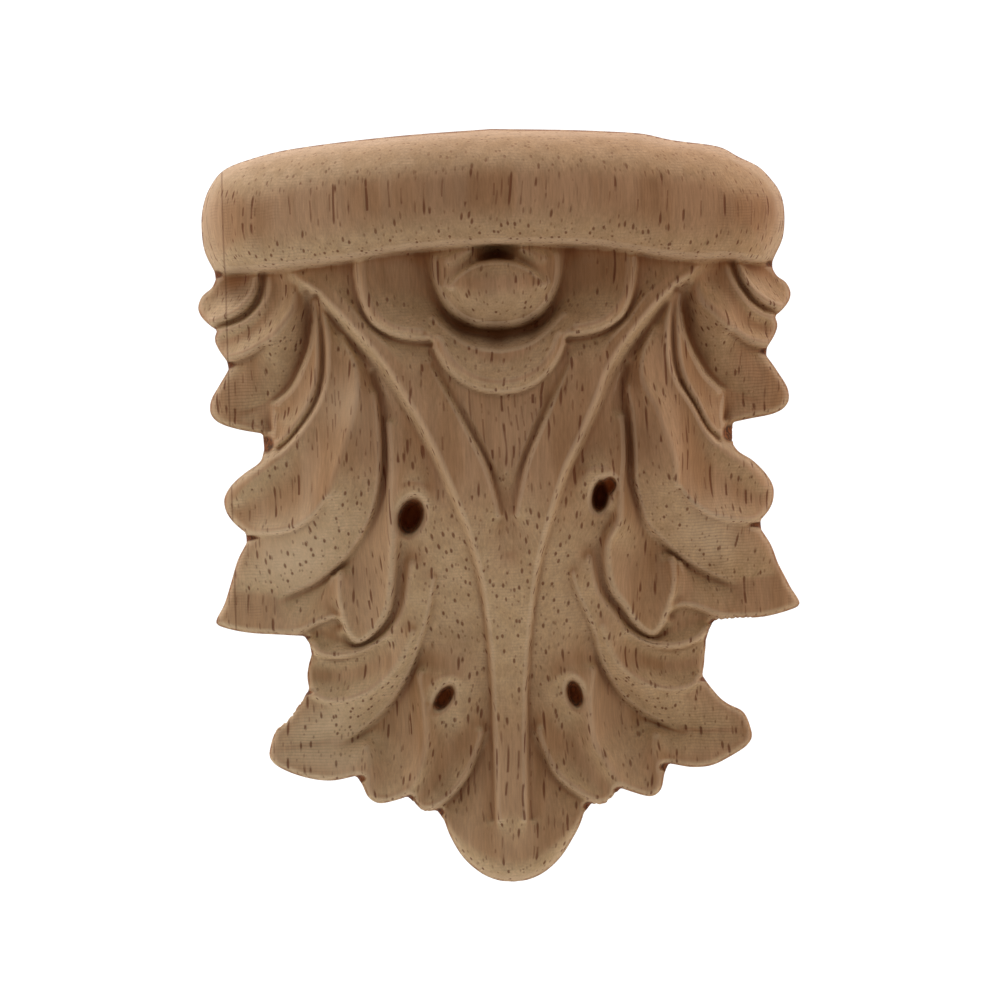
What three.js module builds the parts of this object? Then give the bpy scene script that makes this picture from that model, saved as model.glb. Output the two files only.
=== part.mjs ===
// A small carved wooden applique in the form of a corbel: a bowed rail over half a rosette, and on
// each side of a forked stem an acanthus leaf with a lobed margin. It is one piece of wood with a flat back.
//
// The wood is a field of depths over the flat back. The body gives the broad form. Over it lies a skin,
// held up along the crests and down along the cuts of the carving and stretched smoothly between them.
// The left half is drawn; the right half repeats it, a little displaced, as a hand-finished copy is.
import * as THREE from 'three';

// Sizes of the whole, in millimetres
const WIDTH = 59.9;
const HEIGHT = 75.4;
const RAIL_DEPTH = 25;
const RAIL_END_DEPTH = 14.5;
const LEAF_DEPTH = 18.6;
const FOOT_DEPTH = 6.2;
const MARGIN_DEPTH = 4.6;
const LEAST_DEPTH = 1.5;

// Rail: how far its upper and its lower rounding reach in, how much it falls there, how full the rounding
// is, and how sharp the lower edge
const RAIL_TOP_ROUNDING = 5.6;
const RAIL_TOP_FALL = 8;
const RAIL_LOW_ROUNDING = 5.6;
const RAIL_LOW_FALL = 3.8;
const RAIL_FULLNESS = 2.2;
const RAIL_EDGE = 0.2;

// Rounding of the cut margin, on the leaves and under the tip, and the heights where it changes
const MARGIN_ROUNDING = 0.8;
const TIP_ROUNDING = 2.6;
const TIP_ROUNDING_FOOT = -36;
const TIP_ROUNDING_TOP = -31;

// Depth of wood left under the drilled eyes, and how far the notches between the lobes drop, down to their
// floor
const UPPER_EYE_FLOOR = 11.5;
const LOWER_EYE_FLOOR = 5.4;
const NOTCH_DROP = 1.4;
const NOTCH_FLOOR = 2.5;

// A pit is at its full depth up to the first of these shares of its half width, and ends at the second
const PIT_CORE = 0.3;
const PIT_END = 1.1;

// The height at which the leaf begins to fall back, and the height at which it has reached its foot
const FALL_TOP = 5;
const FALL_FOOT = -25;

// The skin: its fineness, how many rounds it takes to settle, how hard a crest or a cut pulls at it and how
// wide, and where a scooped face begins and ends, as shares of its half width
const SKIN_PITCH = 0.25;
const COARSE_ROUNDS = 160;
const FINE_ROUNDS = 60;
const PULL = 14;
const PULL_WIDTH = 0.2;
const FACE_CORE = 0.6;
const FACE_END = 1.4;

// Fineness of the distances, and size of the facets
const INSET_PITCH = 0.4;
const FACET = 0.93;

// The drawing below is in millimetres from the middle of the flat back: x outwards, z up.
const DRAWN_WIDTH = 59.9;
const DRAWN_HEIGHT = 75.4;
const HALF_SPAN = 32;
const DRAWN_TOP = 39;
const DRAWN_FOOT = -39;

// The outline of the left half, from the top of the rail down to the tip, lobe by lobe: x, z
const MARGIN = {
  rail: [[0, 37.65], [10, 37.2], [20.2, 36.3], [24.5, 35.4], [27.05, 34.4], [28.5, 32.6], [29.2, 30.6],
    [29.35, 28.6], [29.1, 26.4], [28.2, 24.4]],
  firstLobe: [[28.1, 23.6], [28.5, 22.8], [29.5, 22], [29.95, 20.9], [29.7, 20], [28.9, 19.1],
    [28.1, 18.5]],
  secondLobe: [[28.1, 18.4], [28.35, 17.6], [28, 16.6], [27.2, 15.4]],
  thirdLobe: [[27.05, 14.5], [28, 13], [28.9, 11.5], [29, 10.2], [28.3, 9.3], [26.6, 8.6], [23.8, 8]],
  shellLobe: [[23.7, 6.4], [24.1, 5.2], [25.7, 4.1], [27.1, 2.9], [27.85, 1.6], [27.7, 0.3], [27, -0.8],
    [25.8, -1.9]],
  wingLobe: [[25.75, -2.9], [26.7, -4.6], [27.4, -6.7], [28.2, -9], [29.1, -10.8], [28.4, -11.3],
    [25.9, -11.9], [22.6, -12.2], [20.3, -12.4]],
  smallLobe: [[19.75, -13.2], [19.6, -14.3]],
  roundLobe: [[19.9, -15.2], [20.1, -16.4], [19.95, -17.7]],
  lowWingLobe: [[20.6, -18.7], [22.2, -20.8], [23.4, -21.8], [24, -23.4], [24.1, -24.5], [23.2, -25.5],
    [20.6, -26.6], [18, -27], [15.5, -26.6]],
  tongueLobe: [[14.9, -27.5], [14.3, -28.8], [13.3, -29.4], [11.8, -29.2], [10.4, -28.8]],
  lastLobe: [[9.7, -29.5], [8.8, -30.3], [7.5, -30.3]],
  tip: [[6.8, -31.3], [6.2, -33], [5, -35.1], [3.3, -36.7], [1.6, -37.5], [0, -37.7]],
};

// The rail's lower edge, from its end to the middle
const RAIL_UNDERSIDE = [[29, 26.2], [28.2, 24.7], [26.5, 24.15], [22, 24.35], [18, 24.7], [14, 25.1],
  [10, 25.7], [5, 26], [0, 26.1]];

// Crests and cuts of the carving: x, z and the lift there above the body
const UPPER_LEAF = {
  firstRim: [[28.5, 19.4, -0.1], [26.8, 20, 0.4], [25.3, 20.9, 0.6], [24.2, 22.3, 0.6], [23.7, 24.6, 0.3]],
  firstCut: [[27.9, 18.9, -1], [26.5, 19.2, -1.3], [25.1, 19.8, -1.3], [24.1, 20.9, -1.2],
    [23.5, 22.4, -1], [23.3, 24.6, -0.6]],
  secondRim: [[28.1, 18.35, -0.2], [26.6, 18.7, 0.1], [25.1, 19.35, 0.2], [23.7, 20.5, 0.2],
    [22.8, 22.1, 0.1], [22.5, 24.6, -0.2]],
  secondRidge: [[27.2, 15.7, 0.2], [25.6, 16.1, 0.8], [24, 16.8, 1.1], [22.4, 17.9, 1.2],
    [21.2, 19.2, 1.1], [20.4, 20.6, 0.7], [20.2, 22.6, 0]],
  secondCut: [[26.8, 15, -1.9], [25.4, 15.2, -1.4], [24, 15.9, -0.7]],
  thirdCrease: [[26.3, 9.9, -1.6], [24.6, 10.35, -2.5], [23, 11, -3], [21.2, 12.6, -3.3],
    [20.1, 14.5, -3.4], [19.2, 16.6, -3.3], [18.8, 18.8, -3], [18.75, 20.6, -2.2], [18.95, 21.9, -0.9]],
  thirdWall: [[22.2, 11, -1.4], [20.65, 12.2, -1], [19.5, 14.2, -0.8], [18.65, 16.4, -0.7],
    [18.3, 18.6, -0.9]],
  thirdFlange: [[28.6, 9.9, -1.2], [26.4, 9, -1.5], [24, 8.4, -2.1], [23.3, 8.4, -2.6]],
  bladeSide: [[23.05, 10.6, -2.9], [23.05, 8.4, -3]],
  bladeEdge: [[22.65, 11, -2.2], [22.6, 9.4, -1.5], [22.5, 7.6, -1.2]],
  bladeRidge: [[18.3, 21, -1.1], [18, 17.8, -0.4], [18.1, 14.4, -0.1], [18.6, 12.2, -0.1],
    [19.3, 10.5, -0.1], [20.3, 9, -0.1], [21.4, 7.6, -0.3], [22.4, 6.9, -0.7]],
  bladeCut: [[18, 21.6, -1.2], [17.6, 19, -1.3], [17.55, 14.4, -1.1], [17.95, 12.2, -1.1],
    [18.65, 10.5, -1.1], [19.7, 8.9, -1.1], [20.9, 7.5, -1.1], [22.2, 6.4, -1.2]],
  shellRim: [[17.5, 20.6, -0.7], [17.05, 18, -0.1], [17, 15, 0.2], [17.35, 12.8, 0.2], [18, 10.9, 0.2],
    [19.2, 9.1, 0.3], [20.3, 7.7, 0.4], [21.8, 6, 0.5], [24, 4.3, 0.6], [25.8, 2.9, 0.5], [26.8, 1.6, 0.1]],
  shellRidge: [[15.6, 17.4, -0.9], [14.6, 15, -0.1], [14.3, 12.2, 0.5], [14.8, 9.4, 0.8], [15.7, 6.4, 1],
    [16.7, 3.8, 1.1], [17.4, 1.8, 1], [18.4, 0.3, 0.9], [19.6, -0.7, 0.8], [21, -1.45, 0.6],
    [22.6, -1.8, 0.5], [24.4, -1.8, 0.3], [25.8, -1.4, -0.1], [26.9, -0.3, -0.4]],
  shellCut: [[25.6, -2.45, -1], [24.2, -2.5, -0.9], [22.4, -2.35, -0.8], [20.8, -1.95, -0.7],
    [19.4, -1.2, -0.6], [18.3, -0.1, -0.3], [17.6, 1.1, 0.1]],
  wingEdge: [[27, -7.9, -1.6], [25.2, -8, -1.9], [23.4, -8.1, -2.1], [21.6, -7.8, -2.3],
    [20, -7.25, -2.5], [18.4, -6.45, -2.5], [16.9, -5.4, -2.4], [15.6, -4.2, -2.3], [14.4, -2.6, -2.3],
    [13.4, -0.6, -2.3], [12.7, 1.6, -2.4]],
  wingCrease: [[22.4, -8.75, -2.4], [21.7, -8.5, -3], [20.2, -7.9, -3.6], [18.6, -7.1, -3.8],
    [17.2, -6.1, -3.8], [16, -5, -3.7], [14.9, -3.7, -3.5], [13.9, -2.2, -3.3], [12.9, -0.3, -3.1],
    [12.2, 1.8, -3], [11.8, 4.5, -2.9], [11.7, 8, -2.9], [12, 11.5, -2.7], [12.6, 13.8, -2.4]],
  wingFlange: [[28.9, -10.9, -1.3], [25.9, -11.7, -0.9], [22.5, -11.95, -0.8], [20.3, -11.6, -0.8],
    [18.6, -10.9, -1], [17.2, -10.4, -1.4]],
  wingFoot: [[20.2, -12.3, -2.6], [18.9, -11.5, -2.5], [17.4, -10.95, -2.5], [16.8, -11.4, -2.5]],
  tongueRim: [[16.5, -6.2, -1.6], [16.75, -8.2, -0.9], [16.35, -10.5, -0.7], [15.7, -12.2, -0.6],
    [15.15, -12.95, -0.6], [14.3, -12.8, -0.5], [13.1, -11.6, -0.3], [12.1, -9.9, -0.2],
    [11.65, -7.4, -0.2], [11.35, -3.5, -0.3], [11.15, 1, -0.8], [11.1, 5, -1.2], [11.3, 8.5, -1.6]],
  tongueSide: [[17.25, -6.6, -2.3], [17.2, -8.6, -1.9], [16.9, -10.2, -1.8]],
  tongueCut: [[16.3, -12.6, -2.1], [15.2, -13.55, -2], [13.8, -13.1, -2], [12.4, -11.9, -2],
    [11.3, -10.2, -2], [10.75, -7.6, -1.9], [10.35, -4.4, -1.9], [10.1, -2.2, -1.6]],
  upperHood: [[11, -0.2, -0.9], [10.6, 1.6, -0.5], [9.5, 2.5, -0.3], [8.4, 2.3, -0.3], [7.9, 1, -0.6]],
};

const LOWER_LEAF = {
  smallRim: [[19.6, -13.3, -0.9], [18.5, -14.25, -0.5], [16.8, -14.45, -0.4], [15, -14.1, -0.4],
    [13.2, -13.35, -0.5], [11.9, -12.5, -0.6], [11, -11.5, -0.6], [10.3, -10.2, -0.6], [9.8, -8.2, -0.6],
    [9.4, -5.5, -0.7]],
  smallCut: [[19.3, -14.5, -2.1], [18.2, -14.85, -2.1], [16.8, -15, -2.1], [15.2, -14.7, -1.8],
    [13.6, -14, -1.5], [12.4, -13.2, -1.1]],
  roundRim: [[19.75, -18, -0.7], [18.9, -18.7, -0.4], [17.4, -19, -0.1], [15.9, -18.85, 0.1],
    [14.5, -18.35, 0.2], [13, -17.4, 0.2], [11.6, -16.1, 0.2], [10.5, -14.4, 0.1], [9.6, -12.3, 0]],
  roundCut: [[19.6, -18.7, -1.2], [18.5, -19.35, -1.1], [17, -19.5, -0.8], [15.6, -19.3, -0.6],
    [14.4, -18.8, -0.2]],
  wingEdge: [[23.3, -23.8, -1.4], [21, -23.4, -1.9], [19.2, -23.2, -2.2], [17.6, -22.9, -2.4],
    [16.2, -22.5, -2.5], [14.6, -21.6, -2.4], [13.1, -20.4, -2.2], [11.8, -19.1, -1.8],
    [10.7, -17.5, -1.3], [9.7, -15.6, -0.9], [8.9, -13.4, -0.6], [8.1, -11, -0.5], [7.4, -7, -0.6]],
  wingCrease: [[17.2, -23.5, -2.4], [16, -23.1, -3], [14.4, -22.15, -3.4], [13, -21, -3.4],
    [12.1, -20.15, -3.3], [10.9, -18.5, -3], [10, -16.9, -2.6], [9.3, -15.3, -2.3], [8.5, -13.2, -2],
    [7.6, -10.5, -1.7], [6.9, -7, -1.4], [6.2, -4, -1]],
  wingMargin: [[23.4, -25.2, -1.1], [20.6, -26.2, -1], [18, -26.6, -1], [15.7, -26.2, -1.2]],
  tongueRim: [[14.4, -23.8, -1.4], [14.15, -25.6, -0.8], [14.35, -27.4, -0.6], [13.9, -28.6, -0.5],
    [12.8, -29, -0.5], [11.4, -28.7, -0.4], [10.4, -28.1, -0.1], [9.6, -27, 0.2], [8.8, -25.1, 0.5],
    [8.35, -23.1, 0.6], [8.35, -20.8, 0.5], [8.5, -18.4, 0.1], [8.8, -16.6, -0.5]],
  lastRim: [[9.5, -29.3, -0.6], [8.6, -29.85, -0.4], [7.4, -29.5, -0.1], [6.2, -28.7, 0.1],
    [5.2, -27.7, 0.2], [4.2, -26.2, 0.1], [3.4, -24.4, 0], [2.8, -22.6, -0.1]],
  lastCut: [[7.4, -30.3, -1.4], [6.4, -29.7, -1.7], [5.6, -29, -1.9], [4.6, -27.8, -2],
    [3.7, -26.3, -1.9], [2.9, -24.3, -1.5], [2.4, -22.4, -0.9]],
  lowerHood: [[8.1, -19.4, 0.1], [7.8, -17.9, 0.2], [6.9, -17.1, 0.2], [5.8, -16.9, 0.1],
    [4.9, -17.5, -0.2]],
};

const STEMS = {
  crest: [[21.5, 25.2, 0.7], [19.9, 23.8, 0.8], [18.2, 22.4, 0.9], [15.8, 20.1, 0.9], [11.8, 15.5, 1],
    [8.8, 10.4, 1.1], [6.5, 5.6, 1.1], [5.25, 2.2, 1], [4.45, 0, 1], [3.75, -2, 0.9], [3.2, -4, 0.9],
    [2.75, -6, 0.8], [2.4, -8, 0.8], [2.05, -11, 0.7], [1.75, -14, 0.6], [1.45, -19.4, 0.6],
    [1.3, -31.3, 0.6]],
  crestShoulder: [[19.3, 24.4, 0.6], [17.6, 22.9, 0.7], [15.3, 20.7, 0.7], [11.3, 16.1, 0.8],
    [8.3, 10.9, 0.9], [6, 6, 0.9], [4.75, 2.6, 0.8], [3.9, 0.3, 0.8], [3.2, -1.8, 0.8], [2.65, -3.8, 0.7],
    [2.2, -5.9, 0.6]],
  outerCut: [[17.9, 21.1, -0.6], [16.8, 19.5, -1.3], [15, 17.1, -1.6], [12.4, 13.7, -1.7],
    [10.3, 10.3, -1.8], [8.9, 7.8, -1.7], [7.6, 5, -1.5], [6.4, 2, -1.1], [5.4, -0.5, -0.9],
    [4.5, -3, -0.9], [3.7, -5.8, -1], [3, -9, -1.1], [2.5, -13, -1.1], [2.1, -19.4, -1.1],
    [1.9, -31.3, -1.2]],
  innerRim: [[7.2, 14.4, 0], [5.1, 10.4, 0.2], [3.6, 7.2, 0.3], [2.3, 4.4, 0.4], [1.45, 1.6, 0.5],
    [0.85, -0.8, 0.5]],
  innerCut: [[6.6, 14.2, -0.5], [4.55, 10.3, -0.9], [3.05, 7.1, -1.1], [1.8, 4.3, -1.2], [0.95, 1.4, -1],
    [0.45, -1.2, -0.6], [0.1, -4.4, -0.1]],
  panelEdge: [[3.7, 10.4, -0.5], [2.25, 7.2, -0.5], [1.1, 4.5, -0.5], [0.45, 2.8, -0.7]],
  panel: [[0, 10.6, -0.5], [0, 6, -0.3], [0, 3.5, -0.4]],
};

const ROSETTE = {
  petalRim: [[13.35, 26.2, 1.4], [13.25, 23.2, 1.4], [12.85, 21.1, 1.5], [12, 19.5, 1.6],
    [10.9, 18.5, 1.6], [9.45, 17.9, 1.6], [7.8, 17.7, 1.4]],
  petalEdge: [[13.85, 26.2, 1.2], [13.75, 23.2, 1.2], [13.35, 20.8, 1.3], [12.45, 19.05, 1.3],
    [11.15, 17.95, 1.3], [9.6, 17.35, 1.3], [8, 17.1, 1.2], [7, 17.2, 1]],
  petalFoot: [[14.4, 26.2, -0.6], [14.3, 23, -0.5], [12.95, 18.75, -0.3], [11.35, 17.45, -0.3],
    [9.6, 16.75, -0.4], [6.8, 16.4, -0.9]],
  lipRim: [[5.9, 16.9, 1.3], [5.3, 15.4, 1.6], [4.3, 14.1, 1.7], [3.1, 13.2, 1.7], [1.6, 12.6, 1.7],
    [0, 12.4, 1.7]],
  lipEdge: [[6.5, 16.75, 1], [6.05, 15.3, 1.2], [5, 13.7, 1.3], [3.65, 12.5, 1.3], [1.9, 11.75, 1.3],
    [0, 11.5, 1.3]],
  lipTop: [[6.6, 18.8, -0.2], [5.2, 17.3, -0.1], [2.9, 15.8, 0.2], [0, 15.2, 0.3]],
  lipFoot: [[6.7, 15.7, -0.6], [5.8, 14, -0.5], [4.25, 12.4, -0.5], [2.3, 11.3, -0.5], [0, 10.9, -0.5]],
  ring: [[7.4, 26, -1.9], [7.05, 23.4, -2.1], [6.25, 21, -2.2], [4.95, 18.95, -2.3], [2.9, 17.65, -2.4],
    [0, 17.15, -2.4]],
  budEdge: [[5.9, 24.8, 0.5], [5.8, 22.8, 0.5], [4.9, 20.7, 0.5], [3.5, 19.3, 0.4], [1.9, 18.6, 0.4],
    [0, 18.4, 0.4]],
  budBrow: [[4.6, 22, 1.9], [3.7, 22.9, 2.1], [2.6, 23.6, 2.2], [1.3, 24.1, 2.2], [0, 24.2, 2.2]],
  budCrease: [[5.1, 22.2, 1.4], [4.2, 23.2, 1.3], [3.1, 24.1, 1.1], [2.1, 24.65, 0.6]],
  sepal: [[5.5, 24.2, 1.3], [4.2, 24.9, 1.7], [2.7, 25.6, 1.6]],
  gap: [[1.5, 24.8, -0.5], [0.8, 25, -1.8], [0, 25.2, -2.6]],
};

// Scooped and swelling faces: the middle line, half the width and the depth, which is negative on a swelling
const FACES = [
  { along: [[28, 21], [26, 22.5], [25, 23.8]], half: 1.6, depth: 1.6 },
  { along: [[27, 17.4], [24.5, 18.4], [22.5, 20.5], [21.5, 23]], half: 1.2, depth: 1 },
  { along: [[26.5, 12.5], [24, 13.6], [21.8, 15.6], [20.6, 18.6]], half: 2.8, depth: -0.8 },
  { along: [[18.9, 15], [19.5, 12.4], [21, 10]], half: 0.9, depth: 0.4 },
  { along: [[16.2, 15], [16.3, 10.5], [18.5, 6], [21.5, 2.5], [24.8, 0.6]], half: 2.8, depth: 1.4 },
  { along: [[24, -5.5], [19.5, -4.7], [16, -2.4]], half: 2.6, depth: -0.4 },
  { along: [[20, -21.4], [16, -21.2], [13, -19]], half: 1.9, depth: -0.3 },
  { along: [[14, -3], [14, -7], [14.6, -10.5]], half: 2.2, depth: 1.1 },
  { along: [[18.6, -12.8], [16.2, -12.9]], half: 1, depth: 0.4 },
  { along: [[19, -16.7], [16, -16.8], [13.2, -15.6]], half: 1.8, depth: 1 },
  { along: [[22, -24.4], [18, -24.6]], half: 2, depth: -0.5 },
  { along: [[11.4, -21], [11.7, -24], [12.4, -27]], half: 2.3, depth: 1.1 },
  { along: [[6.5, -23], [6.8, -26], [8, -28.8]], half: 1.8, depth: 1.1 },
  { along: [[12.4, 23], [10.5, 20.5], [8, 19.5]], half: 2.5, depth: 1 },
  { along: [[4.2, 15.8], [2.4, 14.6], [0, 14.2]], half: 1.4, depth: 0.6 },
  { along: [[2.5, 21.8], [0, 21.5]], half: 3, depth: -2.4 },
];

// Drilled eyes, each at its place on the face: middle, half width, half height, lean in degrees, floor
const EYES = [
  { x: -9.2, z: -0.7, wide: 1.5, high: 2.2, lean: 20, floor: UPPER_EYE_FLOOR },
  { x: 9.8, z: 0.8, wide: 1, high: 1.9, lean: 10, floor: UPPER_EYE_FLOOR },
  { x: 10.6, z: 1.7, wide: 0.9, high: 1.2, lean: 30, floor: UPPER_EYE_FLOOR + 2.5 },
  { x: -6.45, z: -19, wide: 0.95, high: 1.8, lean: 36, floor: LOWER_EYE_FLOOR },
  { x: 6.7, z: -19, wide: 0.95, high: 1.75, lean: -14, floor: LOWER_EYE_FLOOR },
];

// Notches between the lobes, the same on both sides: x, z, half width and half height
const NOTCHES = [[28, 24.1, 0.9, 0.5], [27.3, 15, 1.2, 0.45], [23.4, 6.9, 0.95, 1.2],
  [25.6, -2.4, 1.3, 0.4], [20.6, -12.6, 1.3, 0.3], [19.9, -14, 0.7, 0.5], [20.2, -18.1, 0.8, 0.35],
  [15.1, -26.9, 0.75, 0.55], [10.2, -28.95, 0.6, 0.4], [7.2, -30.5, 0.6, 0.55]];

// How far the right half strays from the left: a place on the right, and the shift there
const RIGHT_STRAYS = [[20.4, 35.7, 0.2, -0.65], [26.5, 33.2, -0.5, -1.3], [29.1, 27.8, -0.25, -0.8],
  [27.5, 23.2, -0.7, -0.9], [19, 23.8, 0, -0.5], [29.4, 20.6, -0.55, -0.2], [25.4, 21.2, 1.2, 0.2],
  [28, 17.3, -0.3, -0.3], [29, 9.9, 0, -0.5], [23.3, 6.6, -0.6, -0.3], [26.9, 0.8, -0.9, -0.4],
  [26, -2.5, 0.2, -0.2], [29.6, -10.7, 0.5, 0.2], [20.8, -11.9, 0.7, 0.4], [19.4, -17.8, -0.5, 0.2],
  [24.3, -23.6, 0.25, 0.6], [15.6, -26.2, 0.4, 0.45], [14.3, -29.6, 1, -0.3], [11, -28.6, 0.7, 0.3],
  [9.2, -30.1, 0.5, 0.2], [9.9, 1.1, 0.4, 1.7], [12.9, 6, 1.1, 0], [16, 7, 1.1, 0],
  [17.3, -5.3, 0.3, 0.5], [9.4, -6, -1.5, 0], [14.6, -13.3, -0.4, -0.1], [9.6, -18.2, -0.5, 0],
  [9.1, 8, 0.5, 0]];
const STRAY_REACH = 2.6;
const STRAY_HOLD = 0.15;

// The stem wanders this far to the right of the middle at its fork, and fades out above, below and beside it
const FORK_DRIFT = 0.5;
const FORK_REACH = 17;
const DRIFT_BREADTH = 12;

const across = WIDTH / DRAWN_WIDTH;
const upward = HEIGHT / DRAWN_HEIGHT;

function smoothstep(low, high, value) {
  const t = Math.min(Math.max((value - low) / (high - low), 0), 1);
  return t * t * (3 - 2 * t);
}

// A smooth curve through points of any number of values, as a polyline with about this step
function curveThrough(points, step) {
  const chords = points.slice(1).map((p, i) => Math.hypot(p[0] - points[i][0], p[1] - points[i][1]));
  const slopes = points.map((p, i) => {
    if (i === 0) return p.map((v, k) => (points[1][k] - v) / chords[0]);
    if (i === points.length - 1) return p.map((v, k) => (v - points[i - 1][k]) / chords[i - 1]);
    return p.map((v, k) => (points[i + 1][k] - points[i - 1][k]) / (chords[i - 1] + chords[i]));
  });
  const line = [];
  chords.forEach((chord, i) => {
    const steps = Math.max(1, Math.ceil(chord / step));
    for (let n = 0; n < steps; n += 1) {
      const s = n / steps;
      const blend = s * s * (3 - 2 * s);
      const leave = s * (1 - s) * (1 - s) * chord;
      const arrive = s * s * (s - 1) * chord;
      line.push(points[i].map((v, k) => v + (points[i + 1][k] - v) * blend
        + slopes[i][k] * leave + slopes[i + 1][k] * arrive));
    }
  });
  line.push(points[points.length - 1]);
  return line;
}

// The place on a polyline nearest to x, z: its distance, its coordinates and its third value
function nearestOn(line, x, z) {
  const found = { distance: Infinity, x: 0, z: 0, lift: 0 };
  for (let i = 0; i + 1 < line.length; i += 1) {
    const [ax, az, aLift] = line[i];
    const [bx, bz, bLift] = line[i + 1];
    const ex = bx - ax;
    const ez = bz - az;
    const t = Math.min(Math.max(((x - ax) * ex + (z - az) * ez) / (ex * ex + ez * ez), 0), 1);
    const px = ax + t * ex;
    const pz = az + t * ez;
    const distance = Math.hypot(x - px, z - pz);
    if (distance < found.distance) {
      found.distance = distance;
      found.x = px;
      found.z = pz;
      found.lift = aLift + t * (bLift - aLift);
    }
  }
  return found;
}

// Distance from x, z to a closed polygon, positive inside it
function insetFrom(polygon, x, z) {
  let nearest = Infinity;
  let inside = false;
  for (let i = 0, j = polygon.length - 1; i < polygon.length; j = i, i += 1) {
    const [ax, az] = polygon[j];
    const [bx, bz] = polygon[i];
    const ex = bx - ax;
    const ez = bz - az;
    const t = Math.min(Math.max(((x - ax) * ex + (z - az) * ez) / (ex * ex + ez * ez || 1), 0), 1);
    nearest = Math.min(nearest, Math.hypot(x - ax - t * ex, z - az - t * ez));
    if ((az > z) !== (bz > z) && x < ex * (z - az) / ez + ax) inside = !inside;
  }
  return inside ? nearest : -nearest;
}

// A half drawing with its mirror image, as one closed polygon
function mirrored(half) {
  return half.concat(half.slice().reverse().map(([x, z]) => [-x, z]));
}

// A grid of values over the left half, from the middle outwards and from the foot up
function makeGrid(pitch) {
  const columns = Math.ceil(HALF_SPAN / pitch) + 1;
  const rows = Math.ceil((DRAWN_TOP - DRAWN_FOOT) / pitch) + 1;
  return { pitch, columns, rows, values: new Float64Array(columns * rows) };
}

function fillGrid(grid, valueAt) {
  for (let row = 0; row < grid.rows; row += 1) {
    for (let column = 0; column < grid.columns; column += 1) {
      grid.values[row * grid.columns + column] = valueAt(column * grid.pitch, DRAWN_FOOT + row * grid.pitch);
    }
  }
  return grid;
}

function readGrid(grid, x, z) {
  const u = Math.min(Math.max(x / grid.pitch, 0), grid.columns - 1.001);
  const v = Math.min(Math.max((z - DRAWN_FOOT) / grid.pitch, 0), grid.rows - 1.001);
  const column = Math.floor(u);
  const row = Math.floor(v);
  const a = row * grid.columns + column;
  const b = a + grid.columns;
  const s = u - column;
  const t = v - row;
  return (grid.values[a] * (1 - s) + grid.values[a + 1] * s) * (1 - t)
    + (grid.values[b] * (1 - s) + grid.values[b + 1] * s) * t;
}

// Calls visit with each grid place near a polyline and the nearest point of the line
function nearLine(grid, line, reach, visit) {
  const xs = line.map((p) => p[0]);
  const zs = line.map((p) => p[1]);
  const firstColumn = Math.max(0, Math.floor((Math.min(...xs) - reach) / grid.pitch));
  const lastColumn = Math.min(grid.columns - 1, Math.ceil((Math.max(...xs) + reach) / grid.pitch));
  const firstRow = Math.max(0, Math.floor((Math.min(...zs) - reach - DRAWN_FOOT) / grid.pitch));
  const lastRow = Math.min(grid.rows - 1, Math.ceil((Math.max(...zs) + reach - DRAWN_FOOT) / grid.pitch));
  for (let row = firstRow; row <= lastRow; row += 1) {
    for (let column = firstColumn; column <= lastColumn; column += 1) {
      const found = nearestOn(line, column * grid.pitch, DRAWN_FOOT + row * grid.pitch);
      if (found.distance < reach) visit(row * grid.columns + column, found);
    }
  }
}

const carving = [UPPER_LEAF, LOWER_LEAF, STEMS, ROSETTE]
  .flatMap((set) => Object.entries(set))
  .map(([name, points]) => ({ name, line: curveThrough(points, 0.4) }));

// The facets follow the rail's lower edge, the crests and the creases. Of a crest and a cut that are
// closer together than a facet they follow the cut.
const railEdge = curveThrough(RAIL_UNDERSIDE.map(([x, z]) => [x, z + RAIL_EDGE, 0]), 0.6);
const closeCuts = ['firstCut', 'innerCut'];
const closeCrests = ['firstRim', 'secondRim', 'innerRim'];
const facetLines = carving
  .filter(({ name }) => /rim|ridge|crease|^crest$/i.test(name) || closeCuts.includes(name))
  .filter(({ name }) => !closeCrests.includes(name))
  .map(({ line }) => line);

// The skin: each place takes the mean of its four neighbours, the pull of the lines near it and the
// curving of the face that it lies on. A coarse grid settles first and starts the next finer one.
function stretchSkin() {
  let skin = null;
  for (const factor of [8, 4, 2, 1]) {
    const pitch = SKIN_PITCH * factor;
    const next = makeGrid(pitch);
    const spread = Math.max(PULL_WIDTH, 0.6 * pitch);
    const pull = new Float64Array(next.values.length);
    const goal = new Float64Array(next.values.length);
    const curving = new Float64Array(next.values.length);
    for (const { line } of carving) {
      nearLine(next, line, 3 * spread, (place, found) => {
        const strength = PULL * Math.exp(-((found.distance / spread) ** 2));
        pull[place] += strength;
        goal[place] += strength * found.lift;
      });
    }
    for (const face of FACES) {
      const line = curveThrough(face.along.map(([x, z]) => [x, z, 0]), 0.6);
      nearLine(next, line, FACE_END * face.half, (place, found) => {
        const share = 1 - smoothstep(FACE_CORE * face.half, FACE_END * face.half, found.distance);
        curving[place] += 2 * face.depth / face.half ** 2 * share * pitch * pitch;
      });
    }
    const coarse = skin;
    if (coarse) fillGrid(next, (x, z) => readGrid(coarse, x, z));
    settle(next, pull, goal, curving, factor > 1 ? COARSE_ROUNDS : FINE_ROUNDS);
    skin = next;
  }
  return skin;
}

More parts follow.
